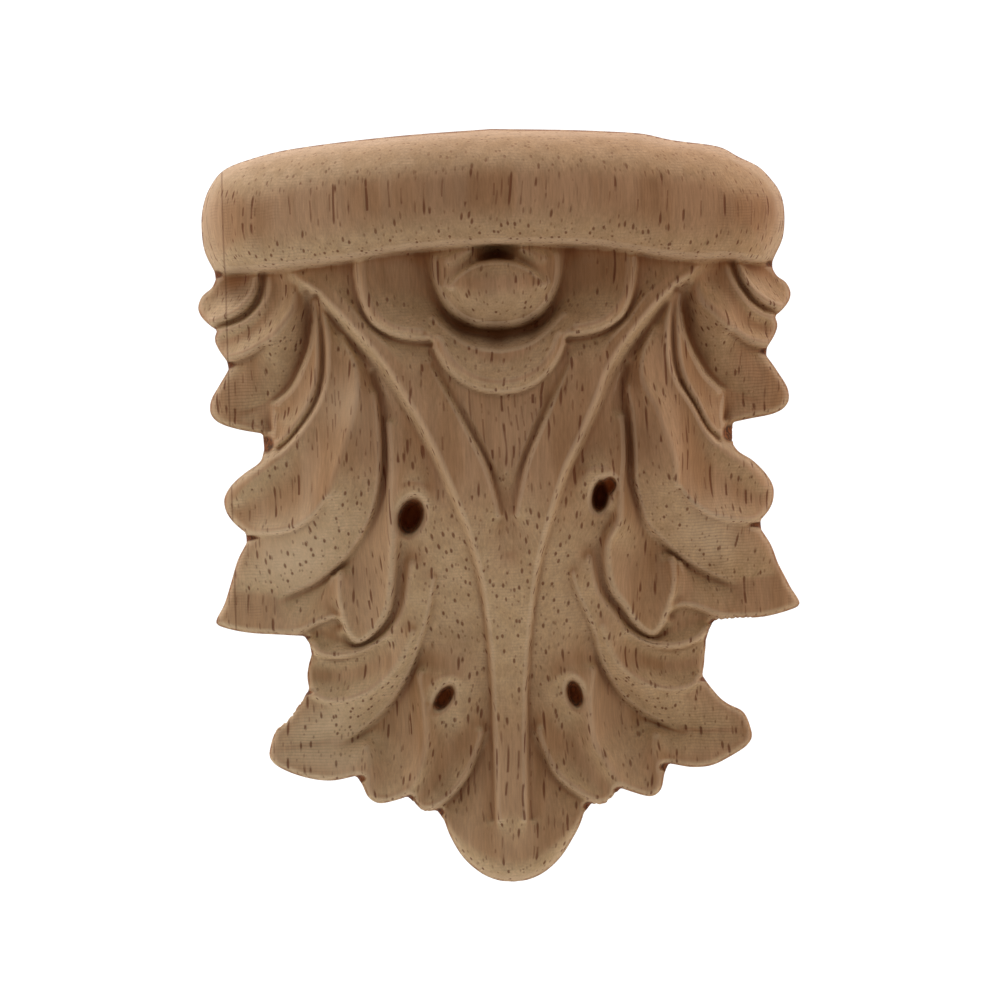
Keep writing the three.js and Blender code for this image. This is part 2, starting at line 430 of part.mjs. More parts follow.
function settle(grid, pull, goal, curving, rounds) {
  const { columns, rows, values } = grid;
  const overshoot = 1.75;
  for (let round = 0; round < 2 * rounds; round += 1) {
    for (let row = 0; row < rows; row += 1) {
      for (let column = (row + round) % 2; column < columns; column += 2) {
        const place = row * columns + column;
        const inner = column > 0 ? values[place - 1] : values[place + 1];
        const outer = column < columns - 1 ? values[place + 1] : values[place];
        const below = row > 0 ? values[place - columns] : values[place];
        const above = row < rows - 1 ? values[place + columns] : values[place];
        const mean = (inner + outer + below + above - curving[place] + goal[place]) / (4 + pull[place]);
        values[place] += overshoot * (mean - values[place]);
      }
    }
  }
}

const halfMargin = Object.values(MARGIN).flatMap((points) => curveThrough(points, 0.4));
const marginPolygon = mirrored(halfMargin);
const underside = curveThrough(RAIL_UNDERSIDE.map(([x, z]) => [x, z, 0]), 0.6);
const railPolygon = mirrored(curveThrough(MARGIN.rail, 0.6).concat(underside));

const skinGrid = stretchSkin();
const marginGrid = fillGrid(makeGrid(INSET_PITCH), (x, z) => insetFrom(marginPolygon, x, z));
const railGrid = fillGrid(makeGrid(INSET_PITCH), (x, z) => insetFrom(railPolygon, x, z));
const undersideGrid = fillGrid(makeGrid(INSET_PITCH), (x, z) => nearestOn(underside, x, z).distance);

// The place in the drawing of the left half that a place on the face repeats
function drawingPlace(x, z) {
  const drift = FORK_DRIFT * Math.exp(-((z / FORK_REACH) ** 2) - (x / DRIFT_BREADTH) ** 2);
  const out = x - drift;
  if (out < 0) return [-out, z];
  let weights = STRAY_HOLD;
  let dx = 0;
  let dz = 0;
  for (const [strayX, strayZ, shiftX, shiftZ] of RIGHT_STRAYS) {
    const weight = Math.exp(-((out - strayX) ** 2 + (z - strayZ) ** 2) / STRAY_REACH ** 2);
    weights += weight;
    dx += weight * shiftX;
    dz += weight * shiftZ;
  }
  const fadeIn = smoothstep(0, 5, out);
  return [out - fadeIn * dx / weights, z - fadeIn * dz / weights];
}

// The broad form: it falls back towards the foot and is bowed from side to side
function bodyDepth(x, z) {
  const middle = FOOT_DEPTH + (LEAF_DEPTH - FOOT_DEPTH) * smoothstep(FALL_FOOT, FALL_TOP, z);
  return MARGIN_DEPTH + (middle - MARGIN_DEPTH) * (1 - (x / HALF_SPAN) ** 2);
}

// How far a rounded edge has fallen, this far in from it
function fall(inset, rounding, depth) {
  const turn = 1 - Math.min(Math.max(inset / rounding, 0), 1);
  return depth * (1 - Math.sqrt(1 - turn ** RAIL_FULLNESS));
}

function railDepth(x, inset, rise) {
  const crown = RAIL_DEPTH - (RAIL_DEPTH - RAIL_END_DEPTH) * (x / (DRAWN_WIDTH / 2)) ** 2;
  return crown - fall(inset, RAIL_TOP_ROUNDING, RAIL_TOP_FALL) - fall(rise, RAIL_LOW_ROUNDING, RAIL_LOW_FALL);
}

// 1 in a pit and 0 outside it, for a place from its middle
function pitShare(x, z, wide, high, lean) {
  const angle = THREE.MathUtils.degToRad(lean);
  const u = (x * Math.cos(angle) - z * Math.sin(angle)) / wide;
  const v = (z * Math.cos(angle) + x * Math.sin(angle)) / high;
  return 1 - smoothstep(PIT_CORE, PIT_END, Math.hypot(u, v));
}

function notchShare(x, z) {
  const shares = NOTCHES.map(([atX, atZ, wide, high]) => pitShare(x - atX, z - atZ, wide, high, 0));
  return Math.max(...shares);
}

// Depth of wood at a place of the face
function depthAt(faceX, faceZ) {
  const [x, z] = drawingPlace(faceX, faceZ);
  let depth = bodyDepth(x, z) + readGrid(skinGrid, x, z);
  for (const eye of EYES) {
    const share = pitShare(faceX - eye.x, faceZ - eye.z, eye.wide, eye.high, eye.lean);
    depth -= Math.max(depth - eye.floor, 0) * share;
  }
  depth -= Math.min(Math.max(depth - NOTCH_FLOOR, 0), NOTCH_DROP) * notchShare(x, z);
  const tip = 1 - smoothstep(TIP_ROUNDING_FOOT, TIP_ROUNDING_TOP, z);
  const rounding = MARGIN_ROUNDING + (TIP_ROUNDING - MARGIN_ROUNDING) * tip;
  const inset = readGrid(marginGrid, x, z);
  const turn = 1 - Math.min(Math.max(inset, 0) / rounding, 1);
  depth -= rounding * (1 - Math.sqrt(1 - turn * turn));
  const rail = railDepth(x, inset, readGrid(undersideGrid, x, z));
  depth += Math.max(rail - depth, 0) * smoothstep(-RAIL_EDGE, RAIL_EDGE, readGrid(railGrid, x, z));
  return Math.max(depth, LEAST_DEPTH);
}

function insetAt(faceX, faceZ) {
  return readGrid(marginGrid, ...drawingPlace(faceX, faceZ));
}

// The grid of facet corners. A corner near the margin, a crest or a cut moves onto it.
const facetColumns = Math.ceil(2 * HALF_SPAN / FACET) + 1;
const facetRows = Math.ceil((DRAWN_TOP - DRAWN_FOOT) / FACET) + 1;

function settleCorner(x, z) {
  const inset = insetAt(x, z);
  if (Math.abs(inset) < 0.35 * FACET) {
    const probe = 0.1;
    const slopeX = (insetAt(x + probe, z) - insetAt(x - probe, z)) / (2 * probe);
    const slopeZ = (insetAt(x, z + probe) - insetAt(x, z - probe)) / (2 * probe);
    const steep = slopeX * slopeX + slopeZ * slopeZ || 1;
    return { x: x - inset * slopeX / steep, z: z - inset * slopeZ / steep, inset: 0 };
  }
  if (inset < FACET) return { x, z, inset };
  const [drawnX, drawnZ] = drawingPlace(x, z);
  const edge = nearestOn(railEdge, drawnX, drawnZ);
  let best = edge.distance < 0.48 * FACET ? edge : { distance: 0.42 * FACET };
  for (const line of edge === best ? [] : facetLines) {
    const found = nearestOn(line, drawnX, drawnZ);
    if (found.distance < best.distance) best = found;
  }
  if (best.x === undefined) return { x, z, inset };
  const side = x - drawnX < -drawnX ? -1 : 1;
  return { x: x + side * (best.x - drawnX), z: z + best.z - drawnZ, inset };
}

const corners = [];
for (let row = 0; row < facetRows; row += 1) {
  for (let column = 0; column < facetColumns; column += 1) {
    const corner = settleCorner(-HALF_SPAN + column * FACET, DRAWN_FOOT + row * FACET);
    corner.depth = corner.inset >= 0 ? depthAt(corner.x, corner.z) : 0;
    corners.push(corner);
  }
}

const positions = [];
const triangles = [];
const cornerIndex = new Map();
const crossingIndex = new Map();

function addVertex(x, depth, z) {
  positions.push(x * across, -depth, z * upward);
  return positions.length / 3 - 1;
}

function cornerVertex(id) {
  if (!cornerIndex.has(id)) {
    const corner = corners[id];
    cornerIndex.set(id, addVertex(corner.x, corner.depth, corner.z));
  }
  return cornerIndex.get(id);
}

// The vertex where the margin crosses the side between two corners
function crossingVertex(inner, outer) {
  const key = `${inner} ${outer}`;
  if (!crossingIndex.has(key)) {
    const a = corners[inner];
    const b = corners[outer];
    const share = a.inset / (a.inset - b.inset);
    const x = a.x + (b.x - a.x) * share;
    const z = a.z + (b.z - a.z) * share;
    crossingIndex.set(key, addVertex(x, depthAt(x, z), z));
  }
  return crossingIndex.get(key);
}

// One square of the grid, cut at the margin and split along its flatter diagonal
function addSquare(ids) {
  const loop = [];
  ids.forEach((id, i) => {
    const next = ids[(i + 1) % 4];
    const here = corners[id].inset;
    const there = corners[next].inset;
    if (here >= 0) loop.push(cornerVertex(id));
    if (here > 0 && there < 0) loop.push(crossingVertex(id, next));
    if (here < 0 && there > 0) loop.push(crossingVertex(next, id));
  });
  if (loop.length < 3) return;
  const depthOf = (index) => positions[3 * index + 1];
  const turned = loop.length === 4
    && Math.abs(depthOf(loop[1]) - depthOf(loop[3])) < Math.abs(depthOf(loop[0]) - depthOf(loop[2]));
  const fan = turned ? [...loop.slice(1), loop[0]] : loop;
  for (let i = 1; i + 1 < fan.length; i += 1) triangles.push([fan[0], fan[i], fan[i + 1]]);
}

for (let row = 0; row + 1 < facetRows; row += 1) {
  for (let column = 0; column + 1 < facetColumns; column += 1) {
    const id = row * facetColumns + column;
    addSquare([id, id + 1, id + facetColumns + 1, id + facetColumns]);
  }
}

// The loops of triangle sides that have no triangle on the other side, each a list of vertices
function openLoops() {
  const sides = new Set();
  for (const [a, b, c] of triangles) [[a, b], [b, c], [c, a]].forEach(([p, q]) => sides.add(`${p} ${q}`));
  const following = new Map();
  for (const side of sides) {
    const [p, q] = side.split(' ').map(Number);
    if (!sides.has(`${q} ${p}`)) following.set(p, q);
  }
  const loops = [];
  while (following.size > 0) {
    const [start] = following.keys();
    const loop = [];
    for (let at = start; following.has(at);) {
      const next = following.get(at);
      following.delete(at);
      loop.push(at);
      at = next;
    }
    loops.push(loop);
  }
  return loops;
}

// The cut sides go straight back from the margin, and the back is flat
function closeBack() {
  for (const loop of openLoops()) {
    const [x, z] = [0, 2];
    const back = loop.map((i) => addVertex(positions[3 * i + x] / across, 0, positions[3 * i + z] / upward));
    loop.forEach((index, i) => {
      const next = (i + 1) % loop.length;
      triangles.push([loop[next], index, back[i]], [loop[next], back[i], back[next]]);
    });
    const outline = back.map((index) => new THREE.Vector2(positions[3 * index], positions[3 * index + 2]));
    for (const [a, b, c] of THREE.ShapeUtils.triangulateShape(outline, [])) {
      triangles.push([back[a], back[c], back[b]]);
    }
  }
}

closeBack();

const geometry = new THREE.BufferGeometry();
geometry.setAttribute('position', new THREE.Float32BufferAttribute(positions, 3));
geometry.setIndex(triangles.flat());
geometry.computeVertexNormals();

const wood = new THREE.MeshStandardMaterial({ color: 0xa9825f, roughness: 0.75, metalness: 0 });
const applique = new THREE.Mesh(geometry, wood);
applique.name = 'carved_applique';

const model = new THREE.Group();
model.add(applique);

export default model;
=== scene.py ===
# A small carved wooden applique in the form of a corbel, unpainted: a bowed rail over half a rosette, and on
# each side of a forked stem an acanthus leaf with a lobed margin. The plain solid gives its place and size.
# The carved face is worked out here again from the same drawing, much finer, and the wood gets its grain.
import math

import bpy
import numpy as np
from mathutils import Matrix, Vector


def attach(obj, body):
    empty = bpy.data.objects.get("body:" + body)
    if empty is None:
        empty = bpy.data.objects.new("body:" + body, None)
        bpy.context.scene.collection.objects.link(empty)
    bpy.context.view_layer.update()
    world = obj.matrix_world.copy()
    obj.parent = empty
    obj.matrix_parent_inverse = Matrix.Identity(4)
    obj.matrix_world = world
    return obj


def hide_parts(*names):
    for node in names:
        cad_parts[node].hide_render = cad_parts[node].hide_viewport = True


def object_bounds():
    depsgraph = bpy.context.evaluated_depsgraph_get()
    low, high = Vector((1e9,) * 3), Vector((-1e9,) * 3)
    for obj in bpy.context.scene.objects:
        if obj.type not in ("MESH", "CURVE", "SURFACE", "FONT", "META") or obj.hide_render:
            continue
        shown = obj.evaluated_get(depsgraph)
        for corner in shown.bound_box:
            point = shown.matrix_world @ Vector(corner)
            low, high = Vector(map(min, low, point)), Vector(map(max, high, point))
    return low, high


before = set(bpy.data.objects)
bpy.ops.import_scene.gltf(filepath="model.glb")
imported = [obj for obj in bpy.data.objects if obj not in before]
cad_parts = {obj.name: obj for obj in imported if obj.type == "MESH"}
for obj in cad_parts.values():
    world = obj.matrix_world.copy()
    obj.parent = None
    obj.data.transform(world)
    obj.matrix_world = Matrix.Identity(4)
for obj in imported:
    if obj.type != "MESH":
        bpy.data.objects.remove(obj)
cad_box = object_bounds()

MM = 0.001

# Depths of the wood over its flat back, in millimetres
RAIL_DEPTH = 25.0
RAIL_END_DEPTH = 14.5
LEAF_DEPTH = 18.6
FOOT_DEPTH = 6.2
MARGIN_DEPTH = 4.6
LEAST_DEPTH = 1.5

# Rail: how far its upper and its lower rounding reach in, and how much it falls there
RAIL_TOP_ROUNDING = 5.6
RAIL_TOP_FALL = 8.0
RAIL_LOW_ROUNDING = 5.6
RAIL_LOW_FALL = 3.8
RAIL_FULLNESS = 2.2
RAIL_EDGE = 0.2

# Rounding of the cut margin, on the leaves and under the tip
MARGIN_ROUNDING = 0.8
TIP_ROUNDING = 2.6
TIP_ROUNDING_FOOT = -36.0
TIP_ROUNDING_TOP = -31.0

# Depth of wood left under the drilled eyes and in the notches between the lobes
UPPER_EYE_FLOOR = 11.5
LOWER_EYE_FLOOR = 5.4
NOTCH_FLOOR = 2.5
NOTCH_DROP = 1.4

# The height at which the leaf begins to fall back, and the height at which it has reached its foot
FALL_TOP = 5.0
FALL_FOOT = -25.0

# Fineness of the carved mesh, in millimetres
PITCH = 0.21

# Steps of the drawn lines, for the carving and for the rail
LINE_STEP = 0.4
EDGE_STEP = 0.6

# The skin over the lines: each grid is coarser than the mesh by its factor and is gone over so many rounds
SKIN_FACTORS = (8, 4, 2, 1)
COARSE_ROUNDS = 160
FINE_ROUNDS = 60
OVERSHOOT = 1.75

# How hard a line holds the skin, over what least width, and over how many cells of a coarse grid
PULL = 14.0
PULL_WIDTH = 0.2
PULL_CELLS = 0.6

# A scooped face curves fully up to the first share of its half width and no more from the second on
FACE_CORE = 0.6
FACE_END = 1.4

# The same for a drilled pit or a notch
PIT_CORE = 0.3
PIT_END = 1.1

# The drawing is in millimetres from the middle of the flat back: x outwards, z up.
DRAWN_WIDTH = 59.9
HALF_SPAN = 32.0
DRAWN_TOP = 39.0
DRAWN_FOOT = -39.0

# The outline of the left half, from the top of the rail down to the tip, lobe by lobe: x, z
MARGIN = {
    "rail": [(0, 37.65), (10, 37.2), (20.2, 36.3), (24.5, 35.4), (27.05, 34.4), (28.5, 32.6), (29.2, 30.6),
             (29.35, 28.6), (29.1, 26.4), (28.2, 24.4)],
    "first lobe": [(28.1, 23.6), (28.5, 22.8), (29.5, 22.0), (29.95, 20.9), (29.7, 20.0), (28.9, 19.1),
                   (28.1, 18.5)],
    "second lobe": [(28.1, 18.4), (28.35, 17.6), (28.0, 16.6), (27.2, 15.4)],
    "third lobe": [(27.05, 14.5), (28.0, 13.0), (28.9, 11.5), (29.0, 10.2), (28.3, 9.3), (26.6, 8.6),
                   (23.8, 8.0)],
    "shell lobe": [(23.7, 6.4), (24.1, 5.2), (25.7, 4.1), (27.1, 2.9), (27.85, 1.6), (27.7, 0.3),
                   (27.0, -0.8), (25.8, -1.9)],
    "wing lobe": [(25.75, -2.9), (26.7, -4.6), (27.4, -6.7), (28.2, -9.0), (29.1, -10.8), (28.4, -11.3),
                  (25.9, -11.9), (22.6, -12.2), (20.3, -12.4)],
    "small lobe": [(19.75, -13.2), (19.6, -14.3)],
    "round lobe": [(19.9, -15.2), (20.1, -16.4), (19.95, -17.7)],
    "low wing lobe": [(20.6, -18.7), (22.2, -20.8), (23.4, -21.8), (24.0, -23.4), (24.1, -24.5),
                      (23.2, -25.5), (20.6, -26.6), (18.0, -27.0), (15.5, -26.6)],
    "tongue lobe": [(14.9, -27.5), (14.3, -28.8), (13.3, -29.4), (11.8, -29.2), (10.4, -28.8)],
    "last lobe": [(9.7, -29.5), (8.8, -30.3), (7.5, -30.3)],
    "tip": [(6.8, -31.3), (6.2, -33.0), (5.0, -35.1), (3.3, -36.7), (1.6, -37.5), (0, -37.7)],
}

# The rail's lower edge, from its end to the middle
RAIL_UNDERSIDE = [(29.0, 26.2), (28.2, 24.7), (26.5, 24.15), (22.0, 24.35), (18.0, 24.7), (14.0, 25.1),
                  (10.0, 25.7), (5.0, 26.0), (0, 26.1)]

# Crests and cuts of the carving: x, z and the lift there above the body
UPPER_LEAF = {
    "first rim": [(28.5, 19.4, -0.1), (26.8, 20.0, 0.4), (25.3, 20.9, 0.6), (24.2, 22.3, 0.6),
                  (23.7, 24.6, 0.3)],
    "first cut": [(27.9, 18.9, -1.0), (26.5, 19.2, -1.3), (25.1, 19.8, -1.3), (24.1, 20.9, -1.2),
                  (23.5, 22.4, -1.0), (23.3, 24.6, -0.6)],
    "second rim": [(28.1, 18.35, -0.2), (26.6, 18.7, 0.1), (25.1, 19.35, 0.2), (23.7, 20.5, 0.2),
                   (22.8, 22.1, 0.1), (22.5, 24.6, -0.2)],
    "second ridge": [(27.2, 15.7, 0.2), (25.6, 16.1, 0.8), (24.0, 16.8, 1.1), (22.4, 17.9, 1.2),
                     (21.2, 19.2, 1.1), (20.4, 20.6, 0.7), (20.2, 22.6, 0)],
    "second cut": [(26.8, 15.0, -2.1), (25.4, 15.2, -1.8), (24.2, 15.8, -1.2), (23.4, 16.4, -0.6)],
    "third crease": [(26.3, 9.9, -1.6), (24.6, 10.35, -2.5), (23.0, 11.0, -3.0), (21.2, 12.6, -3.3),
                     (20.1, 14.5, -3.4), (19.2, 16.6, -3.3), (18.8, 18.8, -3.0), (18.75, 20.6, -2.2),
                     (18.95, 21.9, -0.9)],
    "third wall": [(22.2, 11.0, -1.4), (20.65, 12.2, -1.0), (19.5, 14.2, -0.8), (18.65, 16.4, -0.7),
                   (18.3, 18.6, -0.9)],
    "third flange": [(28.6, 9.9, -1.2), (26.4, 9.0, -1.5), (24.0, 8.4, -2.1), (23.3, 8.4, -2.6)],
    "blade side": [(23.05, 10.6, -2.9), (23.05, 8.4, -3.0)],
    "blade edge": [(22.65, 11.0, -2.2), (22.6, 9.4, -1.5), (22.5, 7.6, -1.2)],
    "blade ridge": [(18.3, 21.0, -1.1), (18.0, 17.8, -0.4), (18.1, 14.4, -0.1), (18.6, 12.2, -0.1),
                    (19.3, 10.5, -0.1), (20.3, 9.0, -0.1), (21.4, 7.6, -0.3), (22.4, 6.9, -0.7)],
    "blade cut": [(18.0, 21.6, -1.2), (17.6, 19.0, -1.3), (17.55, 14.4, -1.1), (17.95, 12.2, -1.1),
                  (18.65, 10.5, -1.1), (19.7, 8.9, -1.1), (20.9, 7.5, -1.1), (22.2, 6.4, -1.2)],
    "shell rim": [(17.5, 20.6, -0.7), (17.05, 18.0, -0.1), (17.0, 15.0, 0.2), (17.35, 12.8, 0.2),
                  (18.0, 10.9, 0.2), (19.2, 9.1, 0.3), (20.3, 7.7, 0.4), (21.8, 6.0, 0.5), (24.0, 4.3, 0.6),
                  (25.8, 2.9, 0.5), (26.8, 1.6, 0.1)],
    "shell ridge": [(15.6, 17.4, -0.9), (14.6, 15.0, -0.1), (14.3, 12.2, 0.5), (14.8, 9.4, 0.8),
                    (15.7, 6.4, 1.0), (16.7, 3.8, 1.1), (17.4, 1.8, 1.0), (18.4, 0.3, 0.9),
                    (19.6, -0.7, 0.8), (21.0, -1.45, 0.6), (22.6, -1.8, 0.5), (24.4, -1.8, 0.3),
                    (25.8, -1.4, -0.1), (26.9, -0.3, -0.4)],
    "shell cut": [(25.6, -2.45, -1.0), (24.2, -2.5, -0.9), (22.4, -2.35, -0.8), (20.8, -1.95, -0.7),
                  (19.4, -1.2, -0.6), (18.3, -0.1, -0.3), (17.6, 1.1, 0.1)],
    "wing edge": [(27.0, -7.9, -1.6), (25.2, -8.0, -1.9), (23.4, -8.1, -2.1), (21.6, -7.8, -2.3),
                  (20.0, -7.25, -2.5), (18.4, -6.45, -2.5), (16.9, -5.4, -2.4), (15.6, -4.2, -2.3),
                  (14.4, -2.6, -2.2), (13.5, -0.6, -2.0), (12.9, 1.6, -1.7), (12.5, 4.5, -1.4),
                  (12.45, 8.0, -1.3), (12.7, 11.5, -1.3)],
    "wing crease": [(22.4, -8.75, -2.4), (21.7, -8.5, -3.0), (20.2, -7.9, -3.6), (18.6, -7.1, -3.8),
                    (17.2, -6.1, -3.8), (16.0, -5.0, -3.7), (14.9, -3.7, -3.5), (13.9, -2.2, -3.3),
                    (12.9, -0.3, -3.1), (12.2, 1.8, -3.0), (11.8, 4.5, -2.9), (11.7, 8.0, -2.9),
                    (12.0, 11.5, -2.7), (12.6, 13.8, -2.4)],
    "wing flange": [(28.9, -10.9, -1.3), (25.9, -11.7, -0.9), (22.5, -11.95, -0.8), (20.3, -11.6, -0.8),
                    (18.6, -10.9, -1.0), (17.2, -10.4, -1.4)],
    "wing foot": [(20.2, -12.3, -2.6), (18.9, -11.5, -2.5), (17.4, -10.95, -2.5), (16.8, -11.4, -2.5)],
    "tongue rim": [(16.5, -6.2, -1.6), (16.75, -8.2, -0.9), (16.35, -10.5, -0.7), (15.7, -12.2, -0.6),
                   (15.15, -12.95, -0.6), (14.3, -12.8, -0.5), (13.1, -11.6, -0.3), (12.1, -9.9, -0.2),
                   (11.65, -7.4, -0.2), (11.35, -3.5, -0.3), (11.15, 1.0, -0.8), (11.1, 5.0, -1.2),
                   (11.3, 8.5, -1.6)],
    "tongue side": [(17.25, -6.6, -2.3), (17.2, -8.6, -1.9), (16.9, -10.2, -1.8)],
    "tongue cut": [(16.3, -12.6, -2.1), (15.2, -13.55, -2.0), (13.8, -13.1, -2.0), (12.4, -11.9, -2.0),
                   (11.3, -10.2, -2.0), (10.75, -7.6, -1.9), (10.35, -4.4, -1.9), (10.1, -2.2, -1.6)],
    "upper hood": [(11.0, -0.2, -0.9), (10.6, 1.6, -0.5), (9.5, 2.5, -0.3), (8.4, 2.3, -0.3),
                   (7.9, 1.0, -0.6)],
}

LOWER_LEAF = {
    "small rim": [(19.6, -13.3, -0.9), (18.5, -14.25, -0.5), (16.8, -14.45, -0.4), (15.0, -14.1, -0.4),
                  (13.2, -13.35, -0.5), (11.9, -12.5, -0.6), (11.0, -11.5, -0.6), (10.3, -10.2, -0.6),
                  (9.8, -8.2, -0.6), (9.4, -5.5, -0.7)],
    "small cut": [(19.3, -14.5, -2.1), (18.2, -14.85, -2.1), (16.8, -15.0, -2.1), (15.2, -14.7, -1.8),
                  (13.6, -14.0, -1.5), (12.4, -13.2, -1.1)],
    "round rim": [(19.75, -18.0, -0.7), (18.9, -18.7, -0.4), (17.4, -19.0, -0.1), (15.9, -18.85, 0.1),
                  (14.5, -18.35, 0.2), (13.0, -17.4, 0.2), (11.6, -16.1, 0.2), (10.5, -14.4, 0.1),
                  (9.6, -12.3, 0)],
    "round cut": [(19.6, -18.7, -1.2), (18.5, -19.35, -1.1), (17.0, -19.5, -0.8), (15.6, -19.3, -0.6),
                  (14.4, -18.8, -0.2)],
    "wing edge": [(23.3, -23.8, -1.4), (21.0, -23.4, -1.9), (19.2, -23.2, -2.2), (17.6, -22.9, -2.4),
                  (16.2, -22.5, -2.5), (14.6, -21.6, -2.4), (13.1, -20.4, -2.2), (11.8, -19.1, -1.8),
                  (10.7, -17.5, -1.3), (9.7, -15.6, -0.9), (8.9, -13.4, -0.6), (8.1, -11.0, -0.5),
                  (7.4, -7.0, -0.6)],
    "wing crease": [(17.2, -23.5, -2.4), (16.0, -23.1, -3.0), (14.4, -22.15, -3.4), (13.0, -21.0, -3.4),
                    (12.1, -20.15, -3.3), (10.9, -18.5, -3.0), (10.0, -16.9, -2.6), (9.3, -15.3, -2.3),
                    (8.5, -13.2, -2.0), (7.6, -10.5, -1.7), (6.9, -7.0, -1.4), (6.2, -4.0, -1.0)],
    "wing margin": [(23.4, -25.2, -1.1), (20.6, -26.2, -1.0), (18.0, -26.6, -1.0), (15.7, -26.2, -1.2)],
    "tongue rim": [(14.4, -23.8, -1.4), (14.15, -25.6, -0.8), (14.35, -27.4, -0.6), (13.9, -28.6, -0.5),
                   (12.8, -29.0, -0.5), (11.4, -28.7, -0.4), (10.4, -28.1, -0.1), (9.6, -27.0, 0.2),
                   (8.8, -25.1, 0.5), (8.35, -23.1, 0.6), (8.35, -20.8, 0.5), (8.5, -18.4, 0.1),
                   (8.8, -16.6, -0.5)],
    "last rim": [(9.5, -29.3, -0.6), (8.6, -29.85, -0.4), (7.4, -29.5, -0.1), (6.2, -28.7, 0.1),
                 (5.2, -27.7, 0.2), (4.2, -26.2, 0.1), (3.4, -24.4, 0), (2.8, -22.6, -0.1)],
    "last cut": [(7.4, -30.3, -1.4), (6.4, -29.7, -1.7), (5.6, -29.0, -1.9), (4.6, -27.8, -2.0),
                 (3.7, -26.3, -1.9), (2.9, -24.3, -1.5), (2.4, -22.4, -0.9)],
    "lower hood": [(8.1, -19.4, 0.1), (7.8, -17.9, 0.2), (6.9, -17.1, 0.2), (5.8, -16.9, 0.1),
                   (4.9, -17.5, -0.2)],
}

STEMS = {
    "crest": [(21.5, 25.2, 0.7), (19.9, 23.8, 0.8), (18.2, 22.4, 0.9), (15.8, 20.1, 0.9), (11.8, 15.5, 1.0),
              (8.8, 10.4, 1.1), (6.5, 5.6, 1.1), (5.25, 2.2, 1.0), (4.45, 0, 1.0), (3.75, -2.0, 0.9),
              (3.2, -4.0, 0.9), (2.75, -6.0, 0.8), (2.4, -8.0, 0.8), (2.05, -11.0, 0.7), (1.75, -14.0, 0.6),
              (1.45, -19.4, 0.6), (1.3, -31.3, 0.6)],
    "crest shoulder": [(19.3, 24.4, 0.6), (17.6, 22.9, 0.7), (15.3, 20.7, 0.7), (11.3, 16.1, 0.8),
                       (8.3, 10.9, 0.9), (6.0, 6.0, 0.9), (4.75, 2.6, 0.8), (3.9, 0.3, 0.8),
                       (3.2, -1.8, 0.8), (2.65, -3.8, 0.7), (2.2, -5.9, 0.6)],
    "outer cut": [(17.9, 21.1, -0.6), (16.8, 19.5, -1.3), (15.0, 17.1, -1.6), (12.4, 13.7, -1.7),
                  (10.3, 10.3, -1.8), (8.9, 7.8, -1.7), (7.6, 5.0, -1.5), (6.4, 2.0, -1.1),
                  (5.4, -0.5, -0.9), (4.5, -3.0, -0.9), (3.7, -5.8, -1.0), (3.0, -9.0, -1.1),
                  (2.5, -13.0, -1.1), (2.1, -19.4, -1.1), (1.9, -31.3, -1.2)],
    "inner rim": [(7.2, 14.4, 0), (5.1, 10.4, 0.2), (3.6, 7.2, 0.3), (2.3, 4.4, 0.4), (1.45, 1.6, 0.5),
                  (0.85, -0.8, 0.5)],
    "inner cut": [(6.6, 14.2, -0.5), (4.55, 10.3, -0.9), (3.05, 7.1, -1.1), (1.8, 4.3, -1.2),
                  (0.95, 1.4, -1.0), (0.45, -1.2, -0.6), (0.1, -4.4, -0.1)],
    "panel edge": [(3.7, 10.4, -0.5), (2.25, 7.2, -0.5), (1.1, 4.5, -0.5), (0.45, 2.8, -0.7)],
    "panel": [(0, 10.6, -0.5), (0, 6.0, -0.3), (0, 3.5, -0.4)],
}

